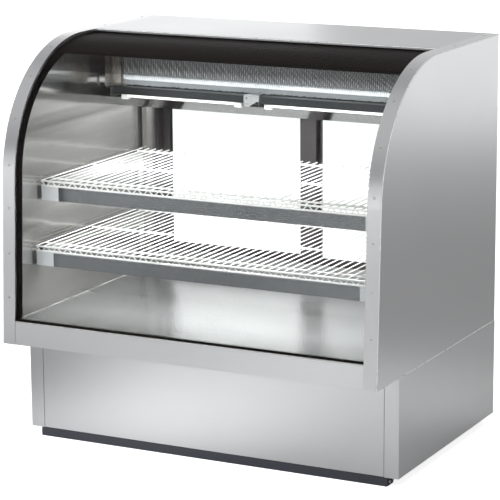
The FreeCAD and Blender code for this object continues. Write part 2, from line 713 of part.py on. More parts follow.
def make_tub_insulation():
    """Foam floor of the display space."""
    half = STRIP_INNER_X - 0.2
    channel_back = GLASS_INSET + GLASS_UNIT + 1.6 + 8.5
    low = CABINET_Z + SKIN + 0.2
    step = GLASS_BOTTOM_Z - 2.0 - 4.0
    high = DECK_Z - 0.2
    rear = REAR_FRAME_Y - 0.3
    corners = [(front_y_at(4.0, low), low), (front_y_at(4.0, step), step),
               (front_y_at(channel_back, step), step), (front_y_at(channel_back, DECK_Z), high),
               (rear, high), (rear, low)]
    return cut_floor_holes(prism_x(corners, -half, half))


def make_interior_deck():
    """Flat floor of the display space."""
    half = LINER_X - 0.5
    front = front_y_at(GLASS_INSET + GLASS_UNIT + 11, DECK_Z)
    return cut_floor_holes(box(-half, half, front, REAR_FRAME_Y - 0.3, DECK_Z, DECK_Z + LINER))


def glass_band(outer_inset, inner_inset):
    """One layer of the curved glass unit."""
    half = STRIP_INNER_X - GLASS_GAP
    return band(outer_inset, inner_inset, GLASS_BOTTOM_Z, HEM_Y + 14, -half, half)


def make_glass_spacer():
    """Black edge seal and printed border between the two panes."""
    outer = GLASS_INSET + PANE
    inner = GLASS_INSET + GLASS_UNIT - PANE
    middle = STRIP_INNER_X - GLASS_GAP - SIDE_BORDER
    full = glass_band(outer, inner)
    window = band(outer - 2, inner + 2, GLASS_BOTTOM_Z + BOTTOM_BORDER, HEM_Y + 20, -middle, middle)
    past = 50.0
    edge = arc_point(-past, TOP_BAND_ANGLE)
    high = HEIGHT + past
    solid_part = [(ARC_Y, ARC_Z), (edge.y, edge.z), (ARC_Y, high), (REAR_Y, high), (REAR_Y, ARC_Z)]
    window = window.cut(prism_x(solid_part, -HALF_WIDTH, HALF_WIDTH))
    return full.cut(window)


def make_breaker_strip():
    """Black plastic strip on the right end wall, from the glass back to the open liner."""
    low_z = DECK_Z + 3.0
    return band(GLASS_INSET + GLASS_UNIT + 0.3, BREAKER_DEPTH, low_z, HEM_Y + 14,
                LINER_X - BREAKER, LINER_X - 0.05)


# ---------------------------------------------------------------- rear frame and doors

def make_rear_header():
    """Insulated stainless header over the doors."""
    half = LINER_X + LINER - 0.1
    return box(-half, half, REAR_FRAME_Y, REAR_Y - SKIN - 0.1, OPENING_TOP_Z, HEIGHT - STRIP_LIP - 0.5)


def make_rear_sill():
    """Insulated stainless sill under the doors."""
    half = LINER_X + LINER - 0.1
    return box(-half, half, REAR_FRAME_Y, REAR_Y, CABINET_Z + SKIN, OPENING_BOTTOM_Z)


def make_rear_jambs():
    """Dark jambs at the two ends of the door opening."""
    outer_x = LINER_X + LINER - 0.1
    jamb = box(OPENING_HALF, outer_x, REAR_FRAME_Y, REAR_Y - 0.5, OPENING_BOTTOM_Z, OPENING_TOP_Z)
    return both_ends(jamb)


def make_door_tracks():
    """Top and bottom double tracks for the sliding doors."""
    rib = 2.5
    web_thick = 3.0
    between = (INNER_DOOR_Y + DOOR_THICK + OUTER_DOOR_Y) / 2 - rib / 2
    rib_places = (INNER_DOOR_Y - 5.0, between, OUTER_DOOR_Y + DOOR_THICK + 2.5)
    tracks = []
    for web_low, rib_low, rib_high in ((OPENING_BOTTOM_Z, OPENING_BOTTOM_Z, 452.0),
                                       (OPENING_TOP_Z - web_thick, 1022.0, OPENING_TOP_Z)):
        web = box(-OPENING_HALF, OPENING_HALF, rib_places[0], rib_places[2] + rib,
                  web_low, web_low + web_thick)
        ribs = [box(-OPENING_HALF, OPENING_HALF, y, y + rib, rib_low, rib_high) for y in rib_places]
        tracks.append(web.multiFuse(ribs))
    return Part.makeCompound(tracks)


def door_span(side):
    """X limits of the door that closes the side of the given sign."""
    return (-DOOR_END, DOOR_LAP) if side < 0 else (-DOOR_LAP, DOOR_END)


def make_door_frame(side, y_low):
    """Dark rectangular frame of one sliding door, with a glazing groove."""
    x_low, x_high = door_span(side)
    left = STILE if side < 0 else MEETING_STILE
    right = MEETING_STILE if side < 0 else STILE
    frame = box(x_low, x_high, y_low, y_low + DOOR_THICK, DOOR_BOTTOM_Z, DOOR_TOP_Z)
    window = box(x_low + left, x_high - right, y_low - 1, y_low + DOOR_THICK + 1,
                 DOOR_BOTTOM_Z + DOOR_RAIL, DOOR_TOP_Z - DOOR_RAIL)
    groove = box(x_low + left - 8, x_high - right + 8, y_low + 3, y_low + DOOR_THICK - 3,
                 DOOR_BOTTOM_Z + DOOR_RAIL - 8, DOOR_TOP_Z - DOOR_RAIL + 8)
    return frame.cut(window).cut(groove)


def make_door_glass(side, y_low):
    """Insulated glass of one sliding door."""
    x_low, x_high = door_span(side)
    left = STILE if side < 0 else MEETING_STILE
    right = MEETING_STILE if side < 0 else STILE
    return box(x_low + left - 7.5, x_high - right + 7.5, y_low + 3, y_low + DOOR_THICK - 3,
               DOOR_BOTTOM_Z + DOOR_RAIL - 7.5, DOOR_TOP_Z - DOOR_RAIL + 7.5)


def make_door_handle(side, y_low):
    """Low finger pull on the outer stile of one door."""
    middle = (DOOR_END - STILE / 2) * side
    y = y_low + DOOR_THICK
    pull = box(middle - 9, middle + 9, y, y + 5, 680, 820)
    pull = round_edges(pull, 2.5, lambda edge: edge.CenterOfMass.y > y + 4.9)
    return pull.cut(box(middle - 5, middle + 5, y + 1.5, y + 6, 690, 810))


# ---------------------------------------------------------------- coil, pan and lamps

def make_evaporator_fins():
    """Stack of upright fins of the gravity coil."""
    fin = box(0, FIN, COIL_Y[0], COIL_Y[1], COIL_Z[0], COIL_Z[1])
    for y in TUBE_ROWS_Y:
        for z in TUBE_ROWS_Z:
            fin = fin.cut(Part.makeCylinder(TUBE_R + 0.1, 4, Vector(-1, y, z), X_AXIS))
    margin = 5.0
    first = COIL_X[0] + margin
    count = int((COIL_X[1] - COIL_X[0] - 2 * margin) / FIN_PITCH) + 1
    fins = [fin.translated(Vector(first + FIN_PITCH * step, 0, 0)) for step in range(count)]
    return Part.makeCompound(fins)


def make_evaporator_tubes():
    """One serpentine tube through the fins, up the front row and down the next."""
    x_low, x_high = COIL_X[0] - 26, COIL_X[1] + 26
    low_z, high_z = TUBE_ROWS_Z
    order = []
    for index, y in enumerate(TUBE_ROWS_Y):
        rows = (low_z, high_z) if index % 2 == 0 else (high_z, low_z)
        order += [(y, z) for z in rows]
    points = [Vector(COIL_X[0] - 50, order[0][0], order[0][1])]
    for index, (y, z) in enumerate(order):
        ends = (x_low, x_high) if index % 2 == 0 else (x_high, x_low)
        if index > 0:
            points.append(Vector(ends[0], y, z))
        points.append(Vector(ends[1], y, z))
    points[-1] = Vector(COIL_X[0] - 50, order[-1][0], order[-1][1])
    return pipe(points, TUBE_R, 20.0)


def make_evaporator_end_plates():
    """Flanged plates at both ends of the coil, with holes for the tubes."""
    plates = []
    for x in (COIL_X[0], COIL_X[1]):
        plate = box(x, x + 1.5, COIL_Y[0] - 4, COIL_Y[1] + 4, COIL_Z[0] - 4, COIL_Z[1] + 4)
        for y in TUBE_ROWS_Y:
            for z in TUBE_ROWS_Z:
                plate = plate.cut(Part.makeCylinder(TUBE_R + 0.3, 6, Vector(x - 2, y, z), X_AXIS))
        plates.append(plate)
    return Part.makeCompound(plates)


def make_evaporator_cover():
    """Galvanised cover in front of the return bends at the left end of the coil."""
    left, right = -541.0, -484.0
    low, high = COIL_Z[0] - 4, CEILING_Z - 3
    front = COIL_Y[0] - 6
    corners = [(left, low + 26), (left + 8, low), (right, low), (right, high), (left, high)]
    plate = prism_y(corners, front, front + 1.2)
    flange = box(left, right, front, front + 26, high - 1.2, high)
    return plate.fuse(flange)


def make_evaporator_hangers():
    """Straps from the ceiling to the coil's end plates."""
    hangers = []
    for x in (COIL_X[0] - 1.5, COIL_X[1] + 1.5):
        for y in (COIL_Y[0] + 6, COIL_Y[1] - 22):
            strap = box(x, x + 1.5, y, y + 16, COIL_Z[1] - 12, CEILING_Z - LINER)
            hangers.append(strap)
    return Part.makeCompound(hangers)


def make_pan_hangers():
    """Bent straps that carry the drip pan and the lamp rail from the ceiling."""
    strap = 2.0
    arm_reach = 50.0
    foot_low, foot_high = PAN_FRONT[1] + 6, PAN_FRONT[1] + 18
    rail_z = LAMP_RAIL_Z[1]
    hangers = []
    for x, towards_middle in ((-512.0, 1), (-1.0, 0), (510.0, -1)):
        hangers.append(box(x, x + strap, PAN_REAR[0], PAN_REAR[0] + 14, PAN_REAR[1] + 2, CEILING_Z - LINER))
        front_high = CEILING_Z - LINER if towards_middle else rail_z + 2.5
        front = box(x, x + strap, 48, 62, foot_low, front_high)
        front = front.fuse(box(x, x + strap, 62, 106, foot_low, foot_high))
        if towards_middle:
            end = x + towards_middle * arm_reach
            arm = box(min(x, end), max(x, end) + strap, 20, 62, rail_z, rail_z + 1.5)
            front = front.fuse(arm)
        hangers.append(front)
    return Part.makeCompound(hangers)


def make_drip_pan():
    """Sloped stainless pan under the coil, full width, draining to its low fold."""
    half = LINER_X - 0.7
    hem = (PAN_FRONT[0] + 9.0, PAN_FRONT[1] + 3.0)
    path = [hem, PAN_FRONT, PAN_LOW, PAN_REAR, (PAN_REAR[0], PAN_REAR[1] + 22)]
    pan = prism_x(sheet_outline(path, SKIN), -half, half)
    return pan.cut(Part.makeCylinder(6.3, 20, Vector(540, PAN_LOW[0], PAN_LOW[1] - 10), Z_AXIS))


def make_drain_line():
    """Drain tube from the pan's low fold down to the condensate pan."""
    drain_x, drain_y, _ = FLOOR_HOLES[2]
    points = [Vector(drain_x, PAN_LOW[0], PAN_LOW[1] + 1), Vector(drain_x, PAN_LOW[0], 925),
              Vector(drain_x, drain_y, 905), Vector(drain_x, drain_y, 130),
              Vector(440, 60, 130), Vector(440, 60, 78)]
    return pipe(points, 6.0, 14.0)


def make_lamp_rail(x_low, x_high):
    """Grey channel that carries one canopy lamp, open towards the food."""
    low, high = LAMP_RAIL_Z
    front, back = LAMP_RAIL_Y, LAMP_RAIL_Y + 26
    path = [(back, low + 6), (back, high), (front, high), (front, low), (front + 6, low)]
    return prism_x(sheet_outline(path, 1.0), x_low, x_high)


def make_lamp_bracket():
    """Stainless bracket that joins the two lamp rails in the middle."""
    low, high = LAMP_RAIL_Z[0], LAMP_RAIL_Z[1] + 1
    front = LAMP_RAIL_Y
    outline = [(-26, high), (-26, low - 10), (-8, low - 10), (18, low + 6), (26, low + 6), (26, high)]
    web = prism_y(outline, front - 1.5, front)
    tongue = box(-20, 20, front, front + 45, high, high + 1.5)
    top = box(-26, 26, front - 1.5, front + 2, high, high + 1.5)
    return web.multiFuse([tongue, top])


def make_lampholders():
    """White sockets at the ends of the canopy lamps."""
    low, high = LAMP_RAIL_Z[0] - 16, LAMP_RAIL_Z[1] - 2.5
    upright = lambda edge: abs(edge.Length - (high - low)) < 0.1
    blocks = []
    for lamp_low, lamp_high in LAMP_SPANS:
        for x_low in (lamp_low - LAMPHOLDER, lamp_high):
            block = box(x_low, x_low + LAMPHOLDER, LAMP_RAIL_Y + 7, LAMP_RAIL_Y + 22, low, high)
            blocks.append(round_edges(block, 2, upright))
    return Part.makeCompound(blocks)


def make_canopy_lamps():
    """Two slim tube lamps inside the lamp rails."""
    y, z = LAMP_RAIL_Y + 14.5, LAMP_RAIL_Z[0] + 12
    lamps = [rod(Vector(low, y, z), Vector(high, y, z), LAMP_R) for low, high in LAMP_SPANS]
    return Part.makeCompound(lamps)


# ---------------------------------------------------------------- shelves

def make_wire_shelf(shelf):
    """White wire shelf: deck wires on cross rods, with a zigzag truss along the front edge."""
    front, top = shelf["front"], shelf["top"]
    wire_z = top - WIRE_R
    rod_z = wire_z - WIRE_R - ROD_R + 0.5
    pieces = []
    count = int(2 * SHELF_HALF / WIRE_PITCH)
    for index in range(count + 1):
        x = -WIRE_PITCH * count / 2 + WIRE_PITCH * index
        pieces.append(rod(Vector(x, front, wire_z), Vector(x, SHELF_REAR_Y, wire_z), WIRE_R))
    end_x = SHELF_HALF - ROD_R
    for y in (front + 60, (front + SHELF_REAR_Y) / 2, SHELF_REAR_Y - 30):
        pieces.append(rod(Vector(-end_x, y, rod_z), Vector(end_x, y, rod_z), ROD_R))
    return pieces


def make_shelf_truss(shelf):
    """Front edge of a wire shelf: two horizontal wires joined by a zigzag."""
    front, top = shelf["front"], shelf["top"]
    upper_z = top - ROD_R
    lower_z = top - TRUSS_HEIGHT
    pieces = [rod(Vector(-SHELF_HALF, front, z), Vector(SHELF_HALF, front, z), radius)
              for z, radius in ((upper_z, ROD_R), (lower_z, ROD_R))]
    count = int(2 * SHELF_HALF / TRUSS_PITCH)
    start = -TRUSS_PITCH * count / 2
    for index in range(count):
        x = start + TRUSS_PITCH * index
        foot = Vector(x, front, upper_z)
        low = Vector(x + TRUSS_PITCH / 2, front, lower_z)
        end = Vector(x + TRUSS_PITCH, front, upper_z)
        pieces += [rod(foot, low, WIRE_R), rod(low, end, WIRE_R)]
    return pieces


def make_shelf(shelf):
    """A whole wire shelf as one welded solid."""
    pieces = make_wire_shelf(shelf) + make_shelf_truss(shelf)
    return pieces[-1].multiFuse(pieces[:-1])


def hood_place(shelf):
    """Front Y and the lower and upper Z of the channel under a shelf."""
    high = shelf["top"] - TRUSS_HEIGHT - ROD_R - 0.5
    return shelf["front"] - 1.0, high - HOOD_HEIGHT, high


def make_shelf_hood(shelf):
    """Front channel under a shelf that hides its lamp from the customer."""
    front, low, high = hood_place(shelf)
    half = SHELF_HALF - 1.0 - HOOD_END
    path = [(front + HOOD_DEPTH, high), (front, high), (front, low), (front + 8, low + 3)]
    return prism_x(sheet_outline(path, 1.0), -half, half)


def make_shelf_hood_end(shelf):
    """White block that closes the right end of a shelf's front channel."""
    front, low, high = hood_place(shelf)
    end = SHELF_HALF - 1.0
    return box(end - HOOD_END, end, front, front + HOOD_DEPTH, low, high)


def make_shelf_standards():
    """Slotted uprights at the rear of both end walls."""
    x = LINER_X - 2.5
    upright = box(x - 9, x + 2.4, 372, 386, DECK_Z + 2, PAN_LOW[1] - 8)
    slots = []
    z = DECK_Z + 30
    while z < PAN_LOW[1] - 40:
        slots.append(box(x - 12, x + 1, 377, 381, z, z + 12))
        z += 25.0
    return both_ends(upright.cut(Part.makeCompound(slots)))


def make_shelf_brackets(shelf):
    """Cantilever arms at both ends of a shelf."""
    high = shelf["top"] - 2 * WIRE_R - 2 * ROD_R + 0.4
    x = LINER_X - 8.0
    front = shelf["front"] + HOOD_DEPTH + 2
    corners = [(371.5, high), (front, high), (front, high - 22), (300, high - 52), (371.5, high - 64)]
    return prism_x(corners, x, x + 2.5)


def build():
    """Make every node."""
    nodes["base_rails"] = group(make_base_rails(), make_rail_caps())
    nodes["machine_tray"] = make_machine_tray()
    nodes["base_posts"] = make_base_posts()
    nodes["base_side_right"] = make_base_side()
    nodes["base_side_left"] = mirror_x(nodes["base_side_right"])
    nodes["base_front_panel"] = make_base_front_panel()
    nodes["rear_grille"] = make_rear_grille()
    nodes["cord_gland"] = make_cord_gland()

    nodes["compressor"] = make_compressor()
    nodes["compressor_mounts"] = make_compressor_mounts()
    nodes["condenser_coil"] = group(make_condenser_fins(), make_condenser_tubes())
    nodes["fan_shroud"] = group(make_fan_shroud(), make_fan_bracket())
    nodes["fan_motor"] = make_fan_motor()
    nodes["fan_blade"] = make_fan_blade()
    nodes["receiver"] = make_receiver()
    nodes["refrigerant_lines"] = make_refrigerant_lines()
    nodes["control_box"] = make_control_box()
    nodes["thermostat_knob"] = make_thermostat_knob()
    nodes["switch_rocker"] = make_switch_rocker()
    nodes["condensate_pan"] = make_condensate_pan()

    nodes["end_panel_right"] = make_end_panel()
    nodes["end_panel_left"] = mirror_x(nodes["end_panel_right"])
    nodes["end_liners"] = group(both_ends(make_end_liner()), make_line_cover())
    nodes["end_trim_right"] = make_end_trim()
    nodes["end_trim_left"] = mirror_x(nodes["end_trim_right"])
    nodes["trim_screws"] = make_trim_screws()
    nodes["top_panel"] = make_top_panel()
    nodes["ceiling_liner"] = make_ceiling_liner()
    nodes["cabinet_floor_pan"] = make_floor_pan()
    nodes["front_sill"] = make_front_sill()
    nodes["cabinet_insulation"] = group(both_ends(make_end_insulation()), make_top_insulation(),
                                        make_tub_insulation())
    nodes["interior_deck"] = make_interior_deck()
    inner_pane = GLASS_INSET + GLASS_UNIT - PANE
    nodes["front_glass_panes"] = group(glass_band(GLASS_INSET, GLASS_INSET + PANE),
                                       glass_band(inner_pane, inner_pane + PANE))
    nodes["front_glass_seal"] = group(make_glass_spacer(), both_ends(make_breaker_strip()))

    nodes["rear_header"] = make_rear_header()
    nodes["rear_sill"] = make_rear_sill()
    nodes["rear_jambs"] = make_rear_jambs()
    nodes["door_tracks"] = make_door_tracks()
    for name, side, y_low in (("left", -1, OUTER_DOOR_Y), ("right", 1, INNER_DOOR_Y)):
        nodes[name + "_door_frame"] = make_door_frame(side, y_low)
        nodes[name + "_door_glass"] = make_door_glass(side, y_low)
        nodes[name + "_door_handle"] = make_door_handle(side, y_low)

    nodes["evaporator_fins"] = make_evaporator_fins()
    nodes["evaporator_tubes"] = make_evaporator_tubes()
    nodes["evaporator_end_plates"] = group(make_evaporator_end_plates(), make_evaporator_cover())
    nodes["coil_hangers"] = group(make_evaporator_hangers(), make_pan_hangers())
    nodes["drip_pan"] = make_drip_pan()
    nodes["drain_line"] = make_drain_line()
    nodes["lamp_rails"] = Part.makeCompound([make_lamp_rail(-LAMP_RAIL_END, -LAMP_RAIL_GAP),
                                             make_lamp_rail(LAMP_RAIL_GAP, LAMP_RAIL_END)])
    nodes["lamp_bracket"] = make_lamp_bracket()
    nodes["lampholders"] = make_lampholders()
    nodes["canopy_lamps"] = make_canopy_lamps()

    nodes["shelf_standards"] = make_shelf_standards()
    arms = []
    hoods = []
    ends = []
    for shelf in (UPPER_SHELF, LOWER_SHELF):
        arm = make_shelf_brackets(shelf)
        arms += [arm, mirror_x(arm)]
        hoods.append(make_shelf_hood(shelf))
        end = make_shelf_hood_end(shelf)
        ends += [end, mirror_x(end)]
    nodes["shelf_brackets"] = Part.makeCompound(arms)
    nodes["shelf_hoods"] = Part.makeCompound(hoods)
    nodes["shelf_hood_ends"] = Part.makeCompound(ends)
    nodes["upper_shelf"] = make_shelf(UPPER_SHELF)
    nodes["lower_shelf"] = make_shelf(LOWER_SHELF)


build()
os.makedirs("parts", exist_ok=True)
for name, shape in nodes.items():
    shape.exportStep("parts/" + name + ".step")
print(len(nodes), "nodes")
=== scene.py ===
import math
import random

import bmesh
import bpy
from mathutils import Matrix, Vector


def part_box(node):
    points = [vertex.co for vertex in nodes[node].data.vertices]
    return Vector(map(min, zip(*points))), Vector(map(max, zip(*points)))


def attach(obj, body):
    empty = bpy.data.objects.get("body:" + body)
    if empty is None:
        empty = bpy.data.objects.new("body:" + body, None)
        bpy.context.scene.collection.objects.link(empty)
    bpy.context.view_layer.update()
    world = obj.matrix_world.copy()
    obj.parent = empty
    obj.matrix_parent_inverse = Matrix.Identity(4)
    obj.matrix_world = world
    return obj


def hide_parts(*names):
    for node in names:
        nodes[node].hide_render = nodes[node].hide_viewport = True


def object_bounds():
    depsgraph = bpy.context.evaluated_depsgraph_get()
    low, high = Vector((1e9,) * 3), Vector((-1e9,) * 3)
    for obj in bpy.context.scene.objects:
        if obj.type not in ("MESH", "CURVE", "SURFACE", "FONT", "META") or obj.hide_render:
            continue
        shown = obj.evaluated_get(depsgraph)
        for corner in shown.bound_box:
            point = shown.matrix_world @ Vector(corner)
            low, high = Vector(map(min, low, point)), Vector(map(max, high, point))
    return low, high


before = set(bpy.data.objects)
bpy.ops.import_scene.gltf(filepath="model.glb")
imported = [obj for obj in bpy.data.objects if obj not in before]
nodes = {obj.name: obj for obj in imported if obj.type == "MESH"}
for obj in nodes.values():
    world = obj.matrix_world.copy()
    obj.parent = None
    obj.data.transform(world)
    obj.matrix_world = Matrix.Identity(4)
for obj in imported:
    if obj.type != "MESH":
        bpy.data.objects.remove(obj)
cad_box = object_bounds()

BODY = "cabinet"
MM = 0.001
LOW, HIGH = cad_box
random.seed(11)


# ---------------------------------------------------------------- shape of the front

GLASS_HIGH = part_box("front_glass_panes")[1]
STRIP_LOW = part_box("end_trim_right")[0]
ARC_R = 400 * MM
LEAN = math.radians(2.75)
TOP_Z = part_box("top_panel")[1].z
LOW_EDGE_Z = STRIP_LOW.z + 1 * MM
ARC_Z = TOP_Z - ARC_R
ARC_Y = (LOW.y + ARC_R * math.cos(LEAN)
         + (ARC_Z + ARC_R * math.sin(LEAN) - STRIP_LOW.z) * math.tan(LEAN))


def arc_point(inset, angle, x=0.0):
    """A point of the curved front, angle in degrees up from straight ahead."""
    turn = math.radians(angle)
    radius = ARC_R - inset
    return Vector((x, ARC_Y - radius * math.cos(turn), ARC_Z + radius * math.sin(turn)))


def arc_normal(angle):
    """Outward direction of the curved front at that angle."""
    turn = math.radians(angle)
    return Vector((0, -math.cos(turn), math.sin(turn)))


def front_y(inset, z):
    """Y of the leaning front face, moved inwards by inset, at height z."""
    tangent_y = ARC_Y - (ARC_R - inset) * math.cos(LEAN)
    tangent_z = ARC_Z + (ARC_R - inset) * math.sin(LEAN)
    return tangent_y - (tangent_z - z) * math.tan(LEAN)


# ---------------------------------------------------------------- node helpers

# Noise starts well away from its own origin, where its octaves line up and leave a mark.
NOISE_START = (17.3, 15.7, 13.9)


class Shader:
    """A material with one Principled shader and short calls for its texture nodes."""

    def __init__(self, name, colour, metallic=0.0, roughness=0.5, **numbers):
        self.material = bpy.data.materials.new(name)
        self.material.use_nodes = True
        self.tree = self.material.node_tree
        self.bsdf = self.tree.nodes["Principled BSDF"]
        self.output = self.tree.nodes["Material Output"]
        self.material.diffuse_color = (*colour, 1)
        self.colour = colour
        self.roughness = roughness
        self.put("Base Color", (*colour, 1))
        self.put("Metallic", metallic)
        self.put("Roughness", roughness)
        for socket, value in numbers.items():
            self.put(socket.replace("_", " "), value)

    def put(self, socket, value):
        self.bsdf.inputs[socket].default_value = value

    def node(self, kind, **settings):
        made = self.tree.nodes.new(kind)
        for key, value in settings.items():
            setattr(made, key, value)
        return made

    def link(self, output, target):
        self.tree.links.new(output, target)

    def place(self, kind="Object"):
        """Texture coordinates of that kind."""
        return self.node("ShaderNodeTexCoord").outputs[kind]

    def noise(self, stretch, detail=2.0, rough=0.5):
        """Noise in object space, stretched per axis, in cycles per metre."""
        mapping = self.node("ShaderNodeMapping")
        mapping.inputs["Scale"].default_value = stretch
        mapping.inputs["Location"].default_value = NOISE_START
        texture = self.node("ShaderNodeTexNoise")
        texture.inputs["Scale"].default_value = 1.0
        texture.inputs["Detail"].default_value = detail
        texture.inputs["Roughness"].default_value = rough
        self.link(self.place(), mapping.inputs["Vector"])
        self.link(mapping.outputs["Vector"], texture.inputs["Vector"])
        return texture.outputs["Fac"]

    def spread(self, value, low, high, start=0.3, end=0.7):
        """Maps a noise value to a range of numbers."""
        ranged = self.node("ShaderNodeMapRange")
        for socket, number in (("From Min", start), ("From Max", end), ("To Min", low), ("To Max", high)):
            ranged.inputs[socket].default_value = number
        self.link(value, ranged.inputs["Value"])
        return ranged.outputs["Result"]

    def total(self, first, second, operation="ADD"):
        """Two values combined."""
        maths = self.node("ShaderNodeMath", operation=operation)
        self.link(first, maths.inputs[0])
        self.link(second, maths.inputs[1])
        return maths.outputs["Value"]

    def tone(self, value, dark, light, start=0.3, end=0.7):
        """Base colour that varies between two colours."""
        ramp = self.node("ShaderNodeValToRGB")
        ramp.color_ramp.elements[0].position = start
        ramp.color_ramp.elements[0].color = (*dark, 1)
        ramp.color_ramp.elements[1].position = end
        ramp.color_ramp.elements[1].color = (*light, 1)
        self.link(value, ramp.inputs["Fac"])
        self.link(ramp.outputs["Color"], self.bsdf.inputs["Base Color"])

    def vary_tone(self, value, amount):
        """Base colour a few percent darker and lighter."""
        dark = tuple(part * (1 - amount) for part in self.colour)
        light = tuple(min(part * (1 + amount), 1) for part in self.colour)
        self.tone(value, dark, light)

    def vary_roughness(self, value, amount):
        ranged = self.spread(value, self.roughness - amount, self.roughness + amount)
        self.link(ranged, self.bsdf.inputs["Roughness"])

    def bump(self, value, height):
        """Relief of that height in metres."""
        bump = self.node("ShaderNodeBump")
        bump.inputs["Strength"].default_value = 1.0
        bump.inputs["Distance"].default_value = height
        self.link(value, bump.inputs["Height"])
        self.link(bump.outputs["Normal"], self.bsdf.inputs["Normal"])

    def tangent(self, direction):
        """Direction that brushed highlights stretch along."""
        vector = self.node("ShaderNodeCombineXYZ")
        for socket, number in zip("XYZ", direction):
            vector.inputs[socket].default_value = number
        self.link(vector.outputs["Vector"], self.bsdf.inputs["Tangent"])


# ---------------------------------------------------------------- materials

STEEL = (0.60, 0.605, 0.615)
FINE = 420.0
LONG = 5.0
# Each grain's noise in cycles per metre, and the direction its highlights stretch along.
GRAINS = {
    "x": ((LONG, FINE, FINE), (0, 0.35, 0.94)),
    "y": ((FINE, LONG, FINE), (0, 0, 1)),
    "z": ((FINE, FINE, LONG), (0.35, 0.94, 0)),
    "arc": ((FINE, 1.2, 1.2), (1, 0, 0)),
}


def brushed_steel(name, grain, colour=STEEL, roughness=0.3, anisotropic=0.65, metallic=1.0):
    """Satin stainless with grain along one axis, handling marks and faint waviness."""
    stretch, across = GRAINS[grain]
    smudge = 0.02
    scratch = 0.01
    shader = Shader(name, colour, metallic, roughness, Anisotropic=anisotropic)
    lines = shader.noise(stretch, 3.0, 0.6)
    clouds = shader.noise((2.4, 2.4, 2.4), 3.0)
    shader.vary_tone(lines, scratch)
    cloudy = shader.spread(clouds, roughness - smudge, roughness + smudge)
    mixed = shader.total(shader.spread(lines, -scratch, scratch), cloudy)
    shader.link(mixed, shader.bsdf.inputs["Roughness"])
    shader.bump(lines, 0.004 * MM)
    shader.tangent(across)
    return shader.material


def polished_steel(name, colour, roughness, wave, ripple, anisotropic=0.3, along=(0, 0, 1), metallic=1.0):
    """Bright sheet whose slight waves and fine grain stretch reflections into streaks."""
    shader = Shader(name, colour, metallic, roughness, Anisotropic=anisotropic)
    waves = shader.noise(wave, 1.0)
    shader.vary_tone(waves, 0.05)
    shader.vary_roughness(waves, 0.02)
    shader.bump(waves, ripple)
    shader.tangent(along)
    return shader.material


def line_metal(name, bare, tinned, height):
    """Bare copper tube below a height and tinned above it, where it meets the food."""
    shader = Shader(name, bare, 1.0, 0.3)
    fade = 5 * MM
    parts = shader.node("ShaderNodeSeparateXYZ")
    shader.link(shader.place(), parts.inputs["Vector"])
    shader.tone(parts.outputs["Z"], bare, tinned, height, height + fade)
    shader.bump(shader.noise((45, 45, 45), 4.0), 0.03 * MM)
    return shader.material


def coated(name, colour, roughness, relief=0.04 * MM, **numbers):
    """Paint, powder coat or moulded plastic with a fine orange-peel texture."""
    grain = 900.0
    shader = Shader(name, colour, 0.0, roughness, **numbers)
    peel = shader.noise((grain, grain, grain), 2.0)
    patches = shader.noise((6, 6, 6), 3.0)
    shader.vary_tone(patches, 0.06)
    shader.vary_roughness(peel, 0.06)
    shader.bump(peel, relief)
    return shader.material


def galvanised(name, colour, roughness=0.38, metallic=1.0):
    """Zinc sheet with a crystalline spangle."""
    shader = Shader(name, colour, metallic, roughness)
    cells = shader.node("ShaderNodeTexVoronoi")
    cells.inputs["Scale"].default_value = 110.0
    shader.link(shader.place(), cells.inputs["Vector"])
    grey = shader.node("ShaderNodeRGBToBW")
    shader.link(cells.outputs["Color"], grey.inputs["Color"])
    value = grey.outputs["Val"]
    shader.vary_tone(value, 0.12)
    shader.vary_roughness(value, 0.08)
    shader.bump(value, 0.02 * MM)
    return shader.material


def metal(name, colour, roughness, tarnish=0.1, metallic=1.0):
    """Drawn or cast metal with cloudy tarnish."""
    shader = Shader(name, colour, metallic, roughness)
    clouds = shader.noise((45, 45, 45), 4.0)
    shader.vary_tone(clouds, tarnish)
    shader.vary_roughness(clouds, 0.08)
    shader.bump(clouds, 0.03 * MM)
    return shader.material


def clear_glass(name, tint, grazing, sheen):
    """Thin clear pane: tinted see-through, with mirror reflection that grows towards grazing angles."""
    shader = Shader(name, tint, 0.0, 0.02)
    through = shader.node("ShaderNodeBsdfTransparent")
    through.inputs["Color"].default_value = (*tint, 1)
    mirror = shader.node("ShaderNodeBsdfGlossy")
    mirror.inputs["Color"].default_value = (sheen, sheen, sheen, 1)
    mirror.inputs["Roughness"].default_value = 0.015
    weight = shader.node("ShaderNodeLayerWeight")
    weight.inputs["Blend"].default_value = grazing
    mixed = shader.node("ShaderNodeMixShader")
    shader.link(weight.outputs["Facing"], mixed.inputs["Fac"])
    shader.link(through.outputs["BSDF"], mixed.inputs[1])
    shader.link(mirror.outputs["BSDF"], mixed.inputs[2])
    shader.link(mixed.outputs["Shader"], shader.output.inputs["Surface"])
    shader.tree.nodes.remove(shader.bsdf)
    return shader.material


